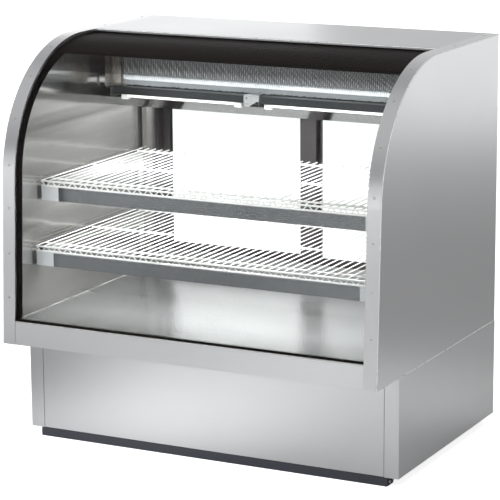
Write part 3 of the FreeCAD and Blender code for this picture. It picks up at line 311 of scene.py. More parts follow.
def halftone(name, colour, pitch):
    """Black printed dots that shrink towards the lower edge; UV is in metres, V up from that edge."""
    shader = Shader(name, colour, 0.0, 0.6, Specular_IOR_Level=0.1)
    small, large, fade = 0.27 * pitch, 0.42 * pitch, 40 * MM
    parts = shader.node("ShaderNodeSeparateXYZ")
    shader.link(shader.place("UV"), parts.inputs["Vector"])

    def step(operation, first, second):
        maths = shader.node("ShaderNodeMath", operation=operation)
        for socket, value in zip(maths.inputs, (first, second)):
            if isinstance(value, (int, float)):
                socket.default_value = value
            else:
                shader.link(value, socket)
        return maths.outputs["Value"]

    row_height = pitch * math.sqrt(3) / 2
    row = step("DIVIDE", parts.outputs["Y"], row_height)
    shift = step("MULTIPLY", step("MODULO", step("FLOOR", row, 0), 2), 0.5)
    column = step("ADD", step("DIVIDE", parts.outputs["X"], pitch), shift)
    across = step("MULTIPLY", step("SUBTRACT", step("FRACT", column, 0), 0.5), pitch)
    along = step("MULTIPLY", step("SUBTRACT", step("FRACT", row, 0), 0.5), row_height)
    square = step("ADD", step("MULTIPLY", across, across), step("MULTIPLY", along, along))
    reach = step("SQRT", square, 0)
    radius = shader.spread(parts.outputs["Y"], small, large, 0.0, fade)
    inside = step("LESS_THAN", reach, radius)
    clear = shader.node("ShaderNodeBsdfTransparent")
    mixed = shader.node("ShaderNodeMixShader")
    shader.link(inside, mixed.inputs["Fac"])
    shader.link(clear.outputs["BSDF"], mixed.inputs[1])
    shader.link(shader.bsdf.outputs["BSDF"], mixed.inputs[2])
    shader.link(mixed.outputs["Shader"], shader.output.inputs["Surface"])
    return shader.material


def lamp_glass(name, glow):
    """White phosphor tube or diffuser with its own glow."""
    warm = (1.0, 0.985, 0.96, 1)
    shader = Shader(name, (0.9, 0.9, 0.88), 0.0, 0.2, Emission_Color=warm, Emission_Strength=glow)
    shader.vary_tone(shader.noise((20, 200, 200)), 0.02)
    return shader.material


def foam(name):
    """Cream urethane foam with open cells."""
    shader = Shader(name, (0.72, 0.6, 0.36), 0.0, 0.9)
    cells = shader.noise((300, 300, 300), 4.0)
    shader.vary_tone(cells, 0.15)
    shader.bump(cells, 0.5 * MM)
    return shader.material


COPPER = (0.72, 0.36, 0.2)
LINER_TONE = (0.54, 0.528, 0.515)
DECK_TONE = (0.5, 0.505, 0.51)
FRIT_TONE = (0.0065, 0.0045, 0.0042)
DOT_PITCH = 4.6 * MM
MATERIALS = {
    "side_steel": brushed_steel("side_steel", "z"),
    "front_steel": brushed_steel("front_steel", "x"),
    "base_side_steel": brushed_steel("base_side_steel", "y"),
    "trim_steel": brushed_steel("trim_steel", "arc"),
    "liner_steel": polished_steel(
        "liner_steel", LINER_TONE, 0.15, (0.6, 0.6, 24.0), 0.6 * MM, 0.85, (0, 1, 0), 0.9),
    "deck_steel": polished_steel(
        "deck_steel", DECK_TONE, 0.26, (2.0, 3.0, 2.0), 0.1 * MM, metallic=0.85),
    "pan_steel": polished_steel("pan_steel", (0.62, 0.625, 0.63), 0.12, (1.5, 10.0, 10.0), 0.3 * MM),
    # Hood steel is the brushed stainless made far darker than the other steel: painted shade on the hoods
    # under the shelves.
    "hood_steel_shaded": brushed_steel("hood_steel_shaded", "x", (0.235, 0.24, 0.25), 0.24, 0.5, 0.85),
    "zinc": galvanised("zinc", (0.5, 0.49, 0.47)),
    "dull_zinc": galvanised("dull_zinc", (0.52, 0.485, 0.45), 0.5, 0.5),
    "rail_black": coated("rail_black", (0.028, 0.031, 0.042), 0.35),
    "seal_black": coated("seal_black", (0.004, 0.004, 0.0045), 0.55, Specular_IOR_Level=0.25),
    "frit_black": coated("frit_black", FRIT_TONE, 0.6, Specular_IOR_Level=0.05),
    "frame_dark": coated("frame_dark", (0.03, 0.027, 0.028), 0.33, 0.02 * MM),
    "channel_grey": brushed_steel("channel_grey", "x", (0.115, 0.12, 0.128), 0.34, 0.4),
    "aluminium": metal("aluminium", (0.68, 0.69, 0.70), 0.3, 0.04),
    "fin_metal": metal("fin_metal", (0.80, 0.83, 0.85), 0.4, 0.05, 0.55),
    "line_metal": line_metal("line_metal", COPPER, (0.6, 0.6, 0.6), 0.33),
    # Near-white metal for the edge beads: painted highlight lines along the folded edges.
    "painted_highlight": metal("painted_highlight", (0.95, 0.95, 0.95), 0.3, 0.02, 0.4),
    "sealant": coated("sealant", (0.3, 0.3, 0.3), 0.5),
    "white_plastic": coated("white_plastic", (0.82, 0.82, 0.8), 0.35),
    "hood_end": coated("hood_end", (0.62, 0.625, 0.65), 0.3),
    "white_wire": coated("white_wire", (0.86, 0.86, 0.85), 0.28, 0.03 * MM, Coat_Weight=0.3),
    "dome_black": coated("dome_black", (0.012, 0.012, 0.013), 0.2, 0.03 * MM, Coat_Weight=0.4),
    "rubber": coated("rubber", (0.02, 0.02, 0.02), 0.7),
    "knob_black": coated("knob_black", (0.015, 0.015, 0.016), 0.4),
    "drain_plastic": coated("drain_plastic", (0.6, 0.6, 0.57), 0.3),
    "lamp": lamp_glass("lamp", 5.0),
    "lens": lamp_glass("lens", 0.7),
    "foam": foam("foam"),
    "frit_dots": halftone("frit_dots", FRIT_TONE, DOT_PITCH),
    "bright_screw": metal("bright_screw", (0.6, 0.6, 0.6), 0.25, 0.06),
    "dial_white": coated("dial_white", (0.75, 0.75, 0.73), 0.5),
    "front_glass": clear_glass("front_glass", (0.985, 0.99, 0.988), 0.05, 0.05),
    "door_glass": clear_glass("door_glass", (0.99, 0.995, 0.993), 0.06, 0.5),
}

NODE_MATERIALS = {
    "base_rails": "rail_black",
    "machine_tray": "zinc",
    "base_posts": "zinc",
    "base_side_right": "base_side_steel",
    "base_side_left": "base_side_steel",
    "base_front_panel": "front_steel",
    "rear_grille": "front_steel",
    "cord_gland": "rubber",
    "compressor": "dome_black",
    "compressor_mounts": "rubber",
    "condenser_coil": "fin_metal",
    "fan_shroud": "rail_black",
    "fan_motor": "dome_black",
    "fan_blade": "aluminium",
    "receiver": "dome_black",
    "refrigerant_lines": "line_metal",
    "control_box": "zinc",
    "thermostat_knob": "knob_black",
    "switch_rocker": "knob_black",
    "condensate_pan": "zinc",
    "end_panel_right": "side_steel",
    "end_panel_left": "side_steel",
    "end_liners": "liner_steel",
    "end_trim_right": "trim_steel",
    "end_trim_left": "trim_steel",
    "trim_screws": "aluminium",
    "top_panel": "front_steel",
    "ceiling_liner": "deck_steel",
    "cabinet_floor_pan": "zinc",
    "front_sill": "front_steel",
    "cabinet_insulation": "foam",
    "interior_deck": "deck_steel",
    "front_glass_panes": "front_glass",
    "front_glass_seal": "frit_black",
    "rear_header": "front_steel",
    "rear_sill": "front_steel",
    "rear_jambs": "frame_dark",
    "door_tracks": "front_steel",
    "left_door_frame": "frame_dark",
    "left_door_glass": "door_glass",
    "left_door_handle": "frame_dark",
    "right_door_frame": "frame_dark",
    "right_door_glass": "door_glass",
    "right_door_handle": "frame_dark",
    "evaporator_fins": "fin_metal",
    "evaporator_tubes": "aluminium",
    "evaporator_end_plates": "dull_zinc",
    "coil_hangers": "zinc",
    "drip_pan": "pan_steel",
    "drain_line": "drain_plastic",
    "lamp_rails": "channel_grey",
    "lamp_bracket": "pan_steel",
    "lampholders": "white_plastic",
    "canopy_lamps": "lamp",
    "shelf_standards": "zinc",
    "shelf_brackets": "zinc",
    "shelf_hoods": "hood_steel_shaded",
    "shelf_hood_ends": "hood_end",
    "upper_shelf": "white_wire",
    "lower_shelf": "white_wire",
}


def dress_nodes():
    """Give every CAD node its material."""
    for name, finish in NODE_MATERIALS.items():
        mesh = nodes[name].data
        mesh.materials.clear()
        mesh.materials.append(MATERIALS[finish])


# ---------------------------------------------------------------- piece helpers

def add_piece(name, data, finish, body=BODY):
    """An object for new mesh or curve data that rides on a body."""
    piece = bpy.data.objects.new(name, data)
    bpy.context.scene.collection.objects.link(piece)
    data.materials.append(MATERIALS[finish])
    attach(piece, body)
    return piece


def add_mesh(name, shape, finish, sharp=35.0):
    """A piece from a bmesh, shaded smooth up to an edge angle."""
    mesh = bpy.data.meshes.new(name)
    bmesh.ops.recalc_face_normals(shape, faces=shape.faces)
    shape.to_mesh(mesh)
    shape.free()
    mesh.shade_smooth()
    mesh.set_sharp_from_angle(angle=math.radians(sharp))
    return add_piece(name, mesh, finish)


def straight(points, share=1.0):
    """A run for add_wires with sharp corners, its radius times share."""
    return points, share, False


def add_wires(name, runs, radius, finish, body=BODY, closed=False):
    """Round wires as one curve; each run is (points, share of the radius, smooth)."""
    curve = bpy.data.curves.new(name, "CURVE")
    curve.dimensions = "3D"
    curve.bevel_depth = radius
    curve.bevel_resolution = 3
    curve.use_fill_caps = True
    for points, share, smooth in runs:
        spline = curve.splines.new("NURBS" if smooth else "POLY")
        spline.points.add(len(points) - 1)
        for knot, point in zip(spline.points, points):
            knot.co = (*point, 1)
            knot.radius = share
        if smooth:
            spline.order_u = 3
            spline.use_endpoint_u = not closed
            spline.resolution_u = 5
        spline.use_cyclic_u = closed
        spline.use_smooth = True
    return add_piece(name, curve, finish, body)


def block(shape, low, high):
    """Axis-aligned box between two corners."""
    low, high = Vector(low), Vector(high)
    place = Matrix.Translation((low + high) / 2) @ Matrix.Diagonal((*(high - low), 1))
    return bmesh.ops.create_cube(shape, size=1.0, matrix=place)["verts"]


def lathe(shape, profile, place, segments=24):
    """Solid of revolution about the local Z of a 4x4 place, from (radius, height) pairs."""
    rings = []
    for radius, height in profile:
        count = segments if radius > 1e-7 else 1
        ring = []
        for index in range(count):
            turn = 2 * math.pi * index / count
            point = Vector((radius * math.cos(turn), radius * math.sin(turn), height))
            ring.append(shape.verts.new(place @ point))
        rings.append(ring)
    for lower, upper in zip(rings, rings[1:]):
        for index in range(segments):
            after = index + 1
            corners = [lower[index % len(lower)], lower[after % len(lower)],
                       upper[after % len(upper)], upper[index % len(upper)]]
            shape.faces.new(list(dict.fromkeys(corners)))


def facing(point, normal):
    """4x4 place at a point with its Z along the normal."""
    return Matrix.Translation(point) @ Vector(normal).to_track_quat("Z", "Y").to_matrix().to_4x4()


def islands(node):
    """Lowest and highest corner of every separate solid of a CAD node."""
    shape = bmesh.new()
    shape.from_mesh(nodes[node].data)
    bmesh.ops.remove_doubles(shape, verts=shape.verts, dist=1e-6)
    waiting = set(shape.verts)
    found = []
    while waiting:
        seed = waiting.pop()
        stack = [seed]
        low, high = seed.co.copy(), seed.co.copy()
        while stack:
            for edge in stack.pop().link_edges:
                for vert in edge.verts:
                    if vert in waiting:
                        waiting.remove(vert)
                        stack.append(vert)
                        low = Vector(map(min, low, vert.co))
                        high = Vector(map(max, high, vert.co))
        found.append((low, high))
    shape.free()
    return sorted(found, key=lambda corners: tuple(round(part, 4) for part in corners[0]))


# ---------------------------------------------------------------- screws

def cross_head(radius, height, sink):
    """Mesh of a pan head with a cross recess, standing on the origin along Z."""
    skirt = [(0, -1), (0.86, -1), (1, -0.7)]
    dome = [(1, 0.25), (0.95, 0.55), (0.8, 0.82), (0.5, 0.95), (0, 1)]
    profile = [(radius * out, sink * up) for out, up in skirt]
    profile += [(radius * out, height * up) for out, up in dome]
    head = bmesh.new()
    lathe(head, profile, Matrix.Identity(4), 32)
    bmesh.ops.recalc_face_normals(head, faces=head.faces)
    cutter = bmesh.new()
    arm, width, taper = radius * 0.62, radius * 0.14, 0.45
    for reach_x, reach_y in ((arm, width), (width, arm)):
        corners = block(cutter, (-reach_x, -reach_y, -sink * 0.5), (reach_x, reach_y, height * 1.5))
        for vert in corners:
            if vert.co.z < 0:
                vert.co.x *= taper
                vert.co.y *= taper
    bodies = []
    for label, shape in (("head", head), ("cutter", cutter)):
        mesh = bpy.data.meshes.new(label)
        shape.to_mesh(mesh)
        shape.free()
        obj = bpy.data.objects.new(label, mesh)
        bpy.context.scene.collection.objects.link(obj)
        bodies.append(obj)
    cut = bodies[0].modifiers.new("recess", "BOOLEAN")
    cut.operation = "DIFFERENCE"
    cut.object = bodies[1]
    cut.use_self = True
    bpy.context.view_layer.update()
    graph = bpy.context.evaluated_depsgraph_get()
    result = bpy.data.meshes.new_from_object(bodies[0].evaluated_get(graph))
    for obj in bodies:
        bpy.data.objects.remove(obj)
    return result


def add_screws(name, places, radius, height, sink=0.0):
    """One piece with a cross-head screw at each (point, normal), each turned its own way."""
    head = cross_head(radius, height, sink)
    shape = bmesh.new()
    for point, normal in places:
        spin = Matrix.Rotation(random.uniform(0, math.pi), 4, "Z")
        copy = head.copy()
        copy.transform(facing(point, normal) @ spin)
        shape.from_mesh(copy)
        bpy.data.meshes.remove(copy)
    bpy.data.meshes.remove(head)
    return add_mesh(name, shape, "bright_screw")


def front_normal(point):
    """Outward direction of the case's front or top nearest to a point."""
    if point.y > ARC_Y:
        return Vector((0, 0, 1))
    angle = math.degrees(math.atan2(point.z - ARC_Z, ARC_Y - point.y))
    return arc_normal(max(angle, math.degrees(LEAN)))


def make_trim_screws():
    """Screws along both trim strips, where the CAD heads are."""
    places = []
    for low, high in islands("trim_screws"):
        middle = (low + high) / 2
        places.append((middle, front_normal(middle)))
    screws = add_screws("trim_screw_heads", places, 4.2 * MM, 0.85 * MM, 0.8 * MM)
    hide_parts("trim_screws")


def grille_face_y():
    """Y of the rear cover's outer face."""
    sheet = 1.5 * MM
    return islands("rear_grille")[0][0].y + sheet


def make_rear_screws():
    """Screws along the top and bottom of the rear cover."""
    low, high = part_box("rear_grille")
    face_y = grille_face_y()
    inset = 14 * MM
    places = []
    for x in (low.x + inset, 0.55 * low.x, 0.0, 0.5 * high.x, high.x - inset):
        for z in (low.z + inset, high.z - inset):
            places.append((Vector((x, face_y, z)), (0, 1, 0)))
    add_screws("grille_screws", places, 4.6 * MM, 1.9 * MM)


def make_bracket_screws():
    """Two small screws on the front of the centre lamp bracket."""
    low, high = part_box("lamp_bracket")
    inset = 10 * MM
    places = []
    for x, z in ((low.x + inset, high.z - inset), (high.x - inset, low.z + inset)):
        places.append((Vector((x, low.y, z)), (0, -1, 0)))
    add_screws("bracket_screws", places, 3 * MM, 1.2 * MM)


def make_rail_bolts():
    """Two bright bolt heads on each end of the base rails."""
    low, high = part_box("base_rails")
    web = 44 * MM
    shape = bmesh.new()
    hexagon = [(0, 0), (4.4 * MM, 0), (4.4 * MM, 2.2 * MM), (3.7 * MM, 2.8 * MM), (0, 2.8 * MM)]
    washer = [(0, 0), (6 * MM, 0), (6 * MM, 0.8 * MM), (0, 0.8 * MM)]
    for side in (-1, 1):
        for rail_y in (low.y, high.y - web):
            for offset in (12 * MM, 32 * MM):
                point = Vector((side * high.x, rail_y + offset, (low.z + high.z) / 2))
                lathe(shape, washer, facing(point, (side, 0, 0)), 24)
                lathe(shape, hexagon, facing(point + Vector((side * 0.8 * MM, 0, 0)), (side, 0, 0)), 6)
    add_mesh("rail_bolts", shape, "bright_screw")


# ---------------------------------------------------------------- glass print

DOT_LOW_ANGLE = 54.0
DOT_HIGH_ANGLE = 68.0


def make_glass_dots():
    """Sheet of printed dots on the inner face of the outer pane, below its solid black band."""
    inset = 12.4 * MM
    steps = 24
    half = GLASS_HIGH.x - 5.5 * MM
    shape = bmesh.new()
    layer = shape.loops.layers.uv.new("print")
    rows = []
    for index in range(steps + 1):
        angle = DOT_LOW_ANGLE + (DOT_HIGH_ANGLE - DOT_LOW_ANGLE) * index / steps
        height = math.radians(angle - DOT_LOW_ANGLE) * (ARC_R - inset)
        ends = [(arc_point(inset, angle, x), (x + half, height)) for x in (-half, half)]
        rows.append([(shape.verts.new(point), place) for point, place in ends])
    for lower, upper in zip(rows, rows[1:]):
        corners = [lower[0], lower[1], upper[1], upper[0]]
        face = shape.faces.new([vert for vert, _ in corners])
        for loop, (_, place) in zip(face.loops, corners):
            loop[layer].uv = place
    add_mesh("printed_dots", shape, "frit_dots")


# ---------------------------------------------------------------- coil and lamps

def make_fin_pack():
    """Close stack of thin fins with folded front edges and a ribbed half-round bulge across the front."""
    low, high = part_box("evaporator_fins")
    pitch = 6.2 * MM
    sheet = 0.3 * MM
    fold = 2.6 * MM
    rib_z = low.z + 27 * MM
    rib_r = 10 * MM
    rib_depth = 0.8
    shape = bmesh.new()
    count = int((high.x - low.x) / pitch)
    for index in range(count + 1):
        x = low.x + pitch * index
        lean = random.uniform(-0.9, 0.9) * MM
        lift = random.uniform(0.0, 2.5) * MM
        for vert in block(shape, (x, low.y, low.z + lift), (x + sheet, high.y, high.z)):
            if vert.co.z < rib_z:
                vert.co.x += lean
        block(shape, (x, low.y - sheet, rib_z), (x + fold + random.uniform(-0.5, 0.5) * MM, low.y, high.z))
    arc_steps = 10
    stations = []
    for index in range(count):
        x = low.x + pitch * index
        stations += [(x, 0.8), (x + 0.25 * pitch, 1.0), (x + 0.8 * pitch, 1.0)]
    grid = []
    for x, share in stations:
        ring = []
        reach = rib_r * share
        for step in range(arc_steps + 1):
            turn = math.pi * (step / arc_steps - 0.5)
            y = low.y - 1.0 * MM - reach * math.cos(turn) * rib_depth
            ring.append(shape.verts.new((x, y, rib_z + reach * math.sin(turn))))
        grid.append(ring)
    for left, right in zip(grid, grid[1:]):
        for step in range(arc_steps):
            shape.faces.new((left[step], right[step], right[step + 1], left[step + 1]))
    pack = add_mesh("coil_fin_pack", shape, "fin_metal", sharp=50.0)
    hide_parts("evaporator_fins")


def make_lamp_caps():
    """Metal ferrules at both ends of each canopy lamp."""
    shape = bmesh.new()
    for low, high in islands("canopy_lamps"):
        radius = (high.z - low.z) / 2
        middle = (low + high) / 2
        cap_r = radius + 0.5 * MM
        profile = [(0, 0), (cap_r, 0), (cap_r, 11 * MM), (radius + 0.1 * MM, 12 * MM), (0, 12 * MM)]
        for x, side in ((low.x, 1), (high.x, -1)):
            lathe(shape, profile, facing(Vector((x, middle.y, middle.z)), (side, 0, 0)), 32)
    add_mesh("lamp_ferrules", shape, "aluminium")


def make_lamp_lenses():
    """Milky diffuser under each canopy lamp, just below its rail."""
    rail_low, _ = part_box("lamp_rails")
    bottom, top = rail_low.z - 8.5 * MM, rail_low.z - 1 * MM
    shape = bmesh.new()
    for low, high in islands("canopy_lamps"):
        block(shape, (low.x, low.y - 4 * MM, bottom), (high.x, high.y + 1 * MM, top))
    add_mesh("lamp_lenses", shape, "lens")


# ---------------------------------------------------------------- painted edge highlights and sealant

def front_run(inset, x, low_z, end_y):
    """Points up the leaning front, round the arc and back along the top."""
    lean = math.degrees(LEAN)
    points = [Vector((x, front_y(inset, low_z), low_z))]
    steps = 30
    for index in range(steps + 1):
        points.append(arc_point(inset, lean + (90 - lean) * index / steps, x))
    points.append(Vector((x, end_y, TOP_Z - inset)))
    return points


def make_painted_highlights():
    """Fine beads along folded edges, paler than the steel: painted highlight lines where the rounded edges
    catch the light.
    """
    bead = 1.1 * MM
    inset = 1.45 * MM
    runs = []
    panel_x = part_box("end_panel_right")[1].x
    for side in (-1, 1):
        x = side * (panel_x - inset)
        runs.append(straight(front_run(inset, x, LOW_EDGE_Z, HIGH.y - 1 * MM)))
    sill_low, sill_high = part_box("front_sill")
    sill_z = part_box("front_glass_seal")[0].z + 19 * MM
    fold = (front_y(1.0 * MM, sill_z) + 1.6 * MM, sill_z - 1.5 * MM)
    runs.append(straight([(sill_low.x, *fold), (sill_high.x, *fold)]))
    top_low, top_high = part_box("top_panel")
    nose = (top_low.y + 1.2 * MM, top_high.z - 2.2 * MM)
    runs.append(straight([(top_low.x, *nose), (top_high.x, *nose)]))
    for side in ("left", "right"):
        low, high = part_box("base_side_" + side)
        x = low.x + 0.9 * MM if side == "left" else high.x - 0.9 * MM
        z = high.z + 0.3 * MM
        runs.append(straight([(x, low.y + 1 * MM, z), (x, high.y - 1 * MM, z)]))
    add_wires("painted_highlights", runs, bead, "painted_highlight")


def make_hem_seal():
    """Black silicone that fills the slot between the glass's rear edge and the top's front hem."""
    low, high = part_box("front_glass_panes")
    shape = bmesh.new()
    lap, gap, depth, crown = 0.2 * MM, 3.4 * MM, 12 * MM, 0.3 * MM
    block(shape, (low.x, high.y - lap, high.z - depth), (high.x, high.y + gap, high.z + crown))
    bmesh.ops.bevel(shape, geom=shape.edges[:], offset=0.1 * MM, segments=2, affect="EDGES", profile=0.5)
    add_mesh("hem_silicone", shape, "seal_black")


def make_floor_joints():
    """Sealant beads between the display floor and both end walls."""
    low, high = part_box("interior_deck")
    runs = []
    for x in (low.x + 0.6 * MM, high.x - 0.6 * MM):
        z = high.z + 0.4 * MM
        runs.append(straight([(x, low.y + 2 * MM, z), (x, high.y, z)]))
    add_wires("floor_joints", runs, 1.5 * MM, "sealant")


# ---------------------------------------------------------------- shelves

def make_wire_shelf(node, name):
    """White coated wire shelf: deck wires on cross rods and a bent zigzag between the front wires."""
    low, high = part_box(node)
    rod = 3.0 * MM
    wire = 1.8 * MM
    front, top = low.y + rod, high.z
    end = high.x
    side = end - 2 * MM
    runs = []
    pitch = 25 * MM
    count = int(2 * end / pitch)
    for index in range(count + 1):
        x = pitch * (index - count / 2)
        runs.append(straight([(x, front, top - wire), (x, high.y, top - wire)]))
    under_z = top - 2 * wire - rod + 0.5 * MM
    for y in (front + 60 * MM, (front + high.y) / 2, high.y - 30 * MM):
        runs.append(straight([(-side, y, under_z), (side, y, under_z)], rod / wire))
    low_z = low.z + rod
    for z in (top - rod, low_z):
        runs.append(straight([(-side, front, z), (side, front, z)], rod / wire))
    half_pitch = 18.5 * MM
    corner = 3.0 * MM
    points = []
    bends = int(2 * end / half_pitch)
    for index in range(bends + 1):
        x = half_pitch * (index - bends / 2)
        z = low_z if index % 2 else top - rod
        points += [(x - corner, front - 0.6 * MM, z), (x + corner, front - 0.6 * MM, z)]
    runs.append((points[1:-1], 1.0, True))
    shelf = add_wires(name, runs, wire, "white_wire")
    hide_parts(node)


# ---------------------------------------------------------------- doors and controls

def make_door_gaskets(side):
    """Rubber beads between a sliding door's glass and frame, on both faces."""
    low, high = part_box(side + "_door_glass")
    lap = 7.5 * MM
    bead = 1.5 * MM
    inset = lap + bead * 0.7
    left, right = low.x + inset, high.x - inset
    bottom, top = low.z + inset, high.z - inset
    runs = []
    for y in (low.y - bead, high.y + bead):
        runs.append(straight([(left, y, bottom), (right, y, bottom), (right, y, top), (left, y, top)]))
    add_wires(side + "_door_gasket", runs, bead, "rubber", side + "_door", closed=True)


def make_dial_scale():
    """Printed scale round the thermostat knob: ten ticks over its turn."""
    low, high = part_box("thermostat_knob")
    middle = (low + high) / 2
    face_y = grille_face_y()
    inner = (high.x - low.x) / 2 + 3 * MM
    shape = bmesh.new()
    ticks = 10
    sweep = math.radians(270)
    for index in range(ticks):
        turn = Matrix.Rotation(-sweep / (ticks - 1) * index, 4, "Y")
        length = 6 * MM if index % 3 == 0 else 4 * MM
        verts = block(shape, (-0.5 * MM, 0, inner), (0.5 * MM, 0.2 * MM, inner + length))
        place = Matrix.Translation((middle.x, face_y, middle.z)) @ turn
        bmesh.ops.transform(shape, matrix=place, verts=verts)
    add_mesh("dial_scale", shape, "dial_white")


# Width of each node's rounded edges in millimetres.
BEVELS = {
    "base_side_right": 0.5, "base_side_left": 0.5, "base_front_panel": 0.5, "base_rails": 1.0,
    "rear_header": 1.5, "rear_sill": 1.5, "rear_jambs": 1.0, "left_door_frame": 1.2,
    "right_door_frame": 1.2, "door_tracks": 0.4, "control_box": 1.0, "lamp_rails": 0.4,
    "lamp_bracket": 0.5, "shelf_hoods": 0.4, "shelf_hood_ends": 1.0, "shelf_brackets": 0.6,
    "evaporator_end_plates": 0.4, "coil_hangers": 0.4, "drip_pan": 0.4, "front_sill": 0.4,
    "top_panel": 0.4, "machine_tray": 0.5, "condensate_pan": 0.5, "interior_deck": 0.3,
}


def round_edges():
    """Small rounded edges on folded sheet and frames, so that they catch the light."""
    for name, width in BEVELS.items():
        weld = nodes[name].modifiers.new("weld", "WELD")
        weld.merge_threshold = 0.00001
        bevel = nodes[name].modifiers.new("edges", "BEVEL")
        bevel.width = width * MM
        bevel.segments = 2
        bevel.limit_method = "ANGLE"
        bevel.angle_limit = math.radians(40)
        bevel.harden_normals = True


# ---------------------------------------------------------------- stage, light and camera

WORLD_BASE = 0.5
# Brighter parts of the surround: direction, inner and outer angle in degrees, added strength.
WORLD_LOBES = (
    ((-0.9, 1.0, 0.25), 10, 50, 0.3),
    ((-0.445, -0.9, 0.04), 4, 14, 1.1),
    ((-0.44, -0.36, 0.82), 10, 40, 0.25),
    ((0.87, -0.45, 0.05), 10, 35, 0.4),
    ((0, 0, -1), 84, 89, 0.9),
)
FLOOR_R = 6.5
FLOOR_TONE = 0.62
FLOOR_GLOW = 0.82
# Painted patches of shade on the floor, which only reflections show: centre, near and far radius in
# metres, change.
FLOOR_SHADES = (
    ((1.7, 2.1, 0.0), 0.7, 1.9, -0.18),
    ((-1.25, -0.95, 0.0), 0.2, 0.75, -0.55),
    ((-0.8, -1.7, 0.0), 0.15, 0.7, -0.5),
)
# Painted pools of glow on the floor, which only reflections show; same columns as above.
FLOOR_POOLS = (
    ((-0.3, -0.72, 0.0), 0.1, 0.65, 0.7),
    ((-0.5, -2.9, 0.0), 0.1, 0.7, 1.0),
    ((-1.85, -2.8, 0.0), 0.1, 0.6, 0.9),
    ((3.35, 6.3, 0.0), 0.5, 2.4, 0.9),
    ((3.8, -1.6, 0.0), 0.8, 2.6, 0.6),
    ((1.15, 0.6, 0.0), 0.1, 0.6, 0.33),
)


def floor_pattern(shader, place, patches):
    """Zero away from the patches, and each patch's change near its centre."""
    level = None
    for centre, near, far, change in patches:
        reach = shader.node("ShaderNodeVectorMath", operation="DISTANCE")
        reach.inputs[1].default_value = centre
        shader.link(place, reach.inputs[0])
        ranged = shader.node("ShaderNodeMapRange", interpolation_type="SMOOTHSTEP")
        for socket, number in (("From Min", near), ("From Max", far), ("To Min", change), ("To Max", 0.0)):
            ranged.inputs[socket].default_value = number
        shader.link(reach.outputs["Value"], ranged.inputs["Value"])
        add = shader.node("ShaderNodeMath", operation="ADD")
        add.inputs[0].default_value = 0.0
        shader.link(ranged.outputs["Result"], add.inputs[1])
        if level is not None:
            shader.link(level, add.inputs[0])
        level = add.outputs["Value"]
    return level


def make_floor():
    """Even pale floor to the camera; its painted pools of glow and painted shade show only in reflections.
    """
    mesh = bpy.data.meshes.new("floor")
    shape = bmesh.new()
    bmesh.ops.create_circle(shape, cap_ends=True, segments=96, radius=FLOOR_R)
    shape.to_mesh(mesh)
    shape.free()
    floor = bpy.data.objects.new("floor", mesh)
    bpy.context.scene.collection.objects.link(floor)
    shader = Shader("floor_paint", (FLOOR_TONE,) * 3, 0.0, 0.8, Specular_IOR_Level=0.1)
    place = shader.place()
    path = shader.node("ShaderNodeLightPath")
    mirrored = path.outputs["Is Glossy Ray"]
    shades = shader.total(floor_pattern(shader, place, FLOOR_SHADES), mirrored, "MULTIPLY")
    tone = shader.node("ShaderNodeMath", operation="ADD")
    tone.inputs[1].default_value = FLOOR_TONE
    shader.link(shades, tone.inputs[0])
    grey = shader.node("ShaderNodeCombineColor")
    for channel in ("Red", "Green", "Blue"):
        shader.link(tone.outputs["Value"], grey.inputs[channel])
    shader.link(grey.outputs["Color"], shader.bsdf.inputs["Base Color"])
    glow = shader.node("ShaderNodeMath", operation="MULTIPLY")
    glow.inputs[1].default_value = FLOOR_GLOW
    shader.link(path.outputs["Is Camera Ray"], glow.inputs[0])
    pools = shader.total(floor_pattern(shader, place, FLOOR_POOLS), mirrored, "MULTIPLY")
    shader.put("Emission Color", (1, 1, 1, 1))
    shader.link(shader.total(glow.outputs["Value"], pools), shader.bsdf.inputs["Emission Strength"])
    mesh.materials.append(shader.material)


def make_world():
    """Studio surround of one strength, with softly brighter parts."""
    world = bpy.data.worlds.new("studio")
    bpy.context.scene.world = world
    world.use_nodes = True
    tree = world.node_tree
    background = tree.nodes["Background"]
    background.inputs["Color"].default_value = (1, 1, 1, 1)
    place = tree.nodes.new("ShaderNodeTexCoord")
    strength = None
    for direction, inner, outer, power in WORLD_LOBES:
        aim = tree.nodes.new("ShaderNodeVectorMath")
        aim.operation = "DOT_PRODUCT"
        aim.inputs[1].default_value = Vector(direction).normalized()
        ranged = tree.nodes.new("ShaderNodeMapRange")
        ranged.interpolation_type = "SMOOTHSTEP"
        ranged.inputs["From Min"].default_value = math.cos(math.radians(outer))
        ranged.inputs["From Max"].default_value = math.cos(math.radians(inner))
        ranged.inputs["To Max"].default_value = power
        tree.links.new(place.outputs["Generated"], aim.inputs[0])
        tree.links.new(aim.outputs["Value"], ranged.inputs["Value"])
        add = tree.nodes.new("ShaderNodeMath")
        add.operation = "ADD"
        add.inputs[0].default_value = WORLD_BASE
        tree.links.new(ranged.outputs["Result"], add.inputs[1])
        if strength is not None:
            tree.links.new(strength, add.inputs[0])
        strength = add.outputs["Value"]
    tree.links.new(strength, background.inputs["Strength"])


def aim_at(obj, target):
    """Turn a light towards a point."""
    obj.rotation_euler = (Vector(target) - obj.location).to_track_quat("-Z", "Y").to_euler()


def area_light(name, place, target, size, power, height=None, mirrored=False):
    """Soft box that the camera never sees; unless mirrored, reflections don't show it either."""
    light = bpy.data.lights.new(name, "AREA")
    light.shape = "DISK" if height is None else "RECTANGLE"
    light.size = size
    if height is not None:
        light.size_y = height
    light.energy = power
    lamp = bpy.data.objects.new(name, light)
    bpy.context.scene.collection.objects.link(lamp)
    lamp.location = place
    lamp.visible_camera = False
    lamp.visible_glossy = mirrored
    aim_at(lamp, target)


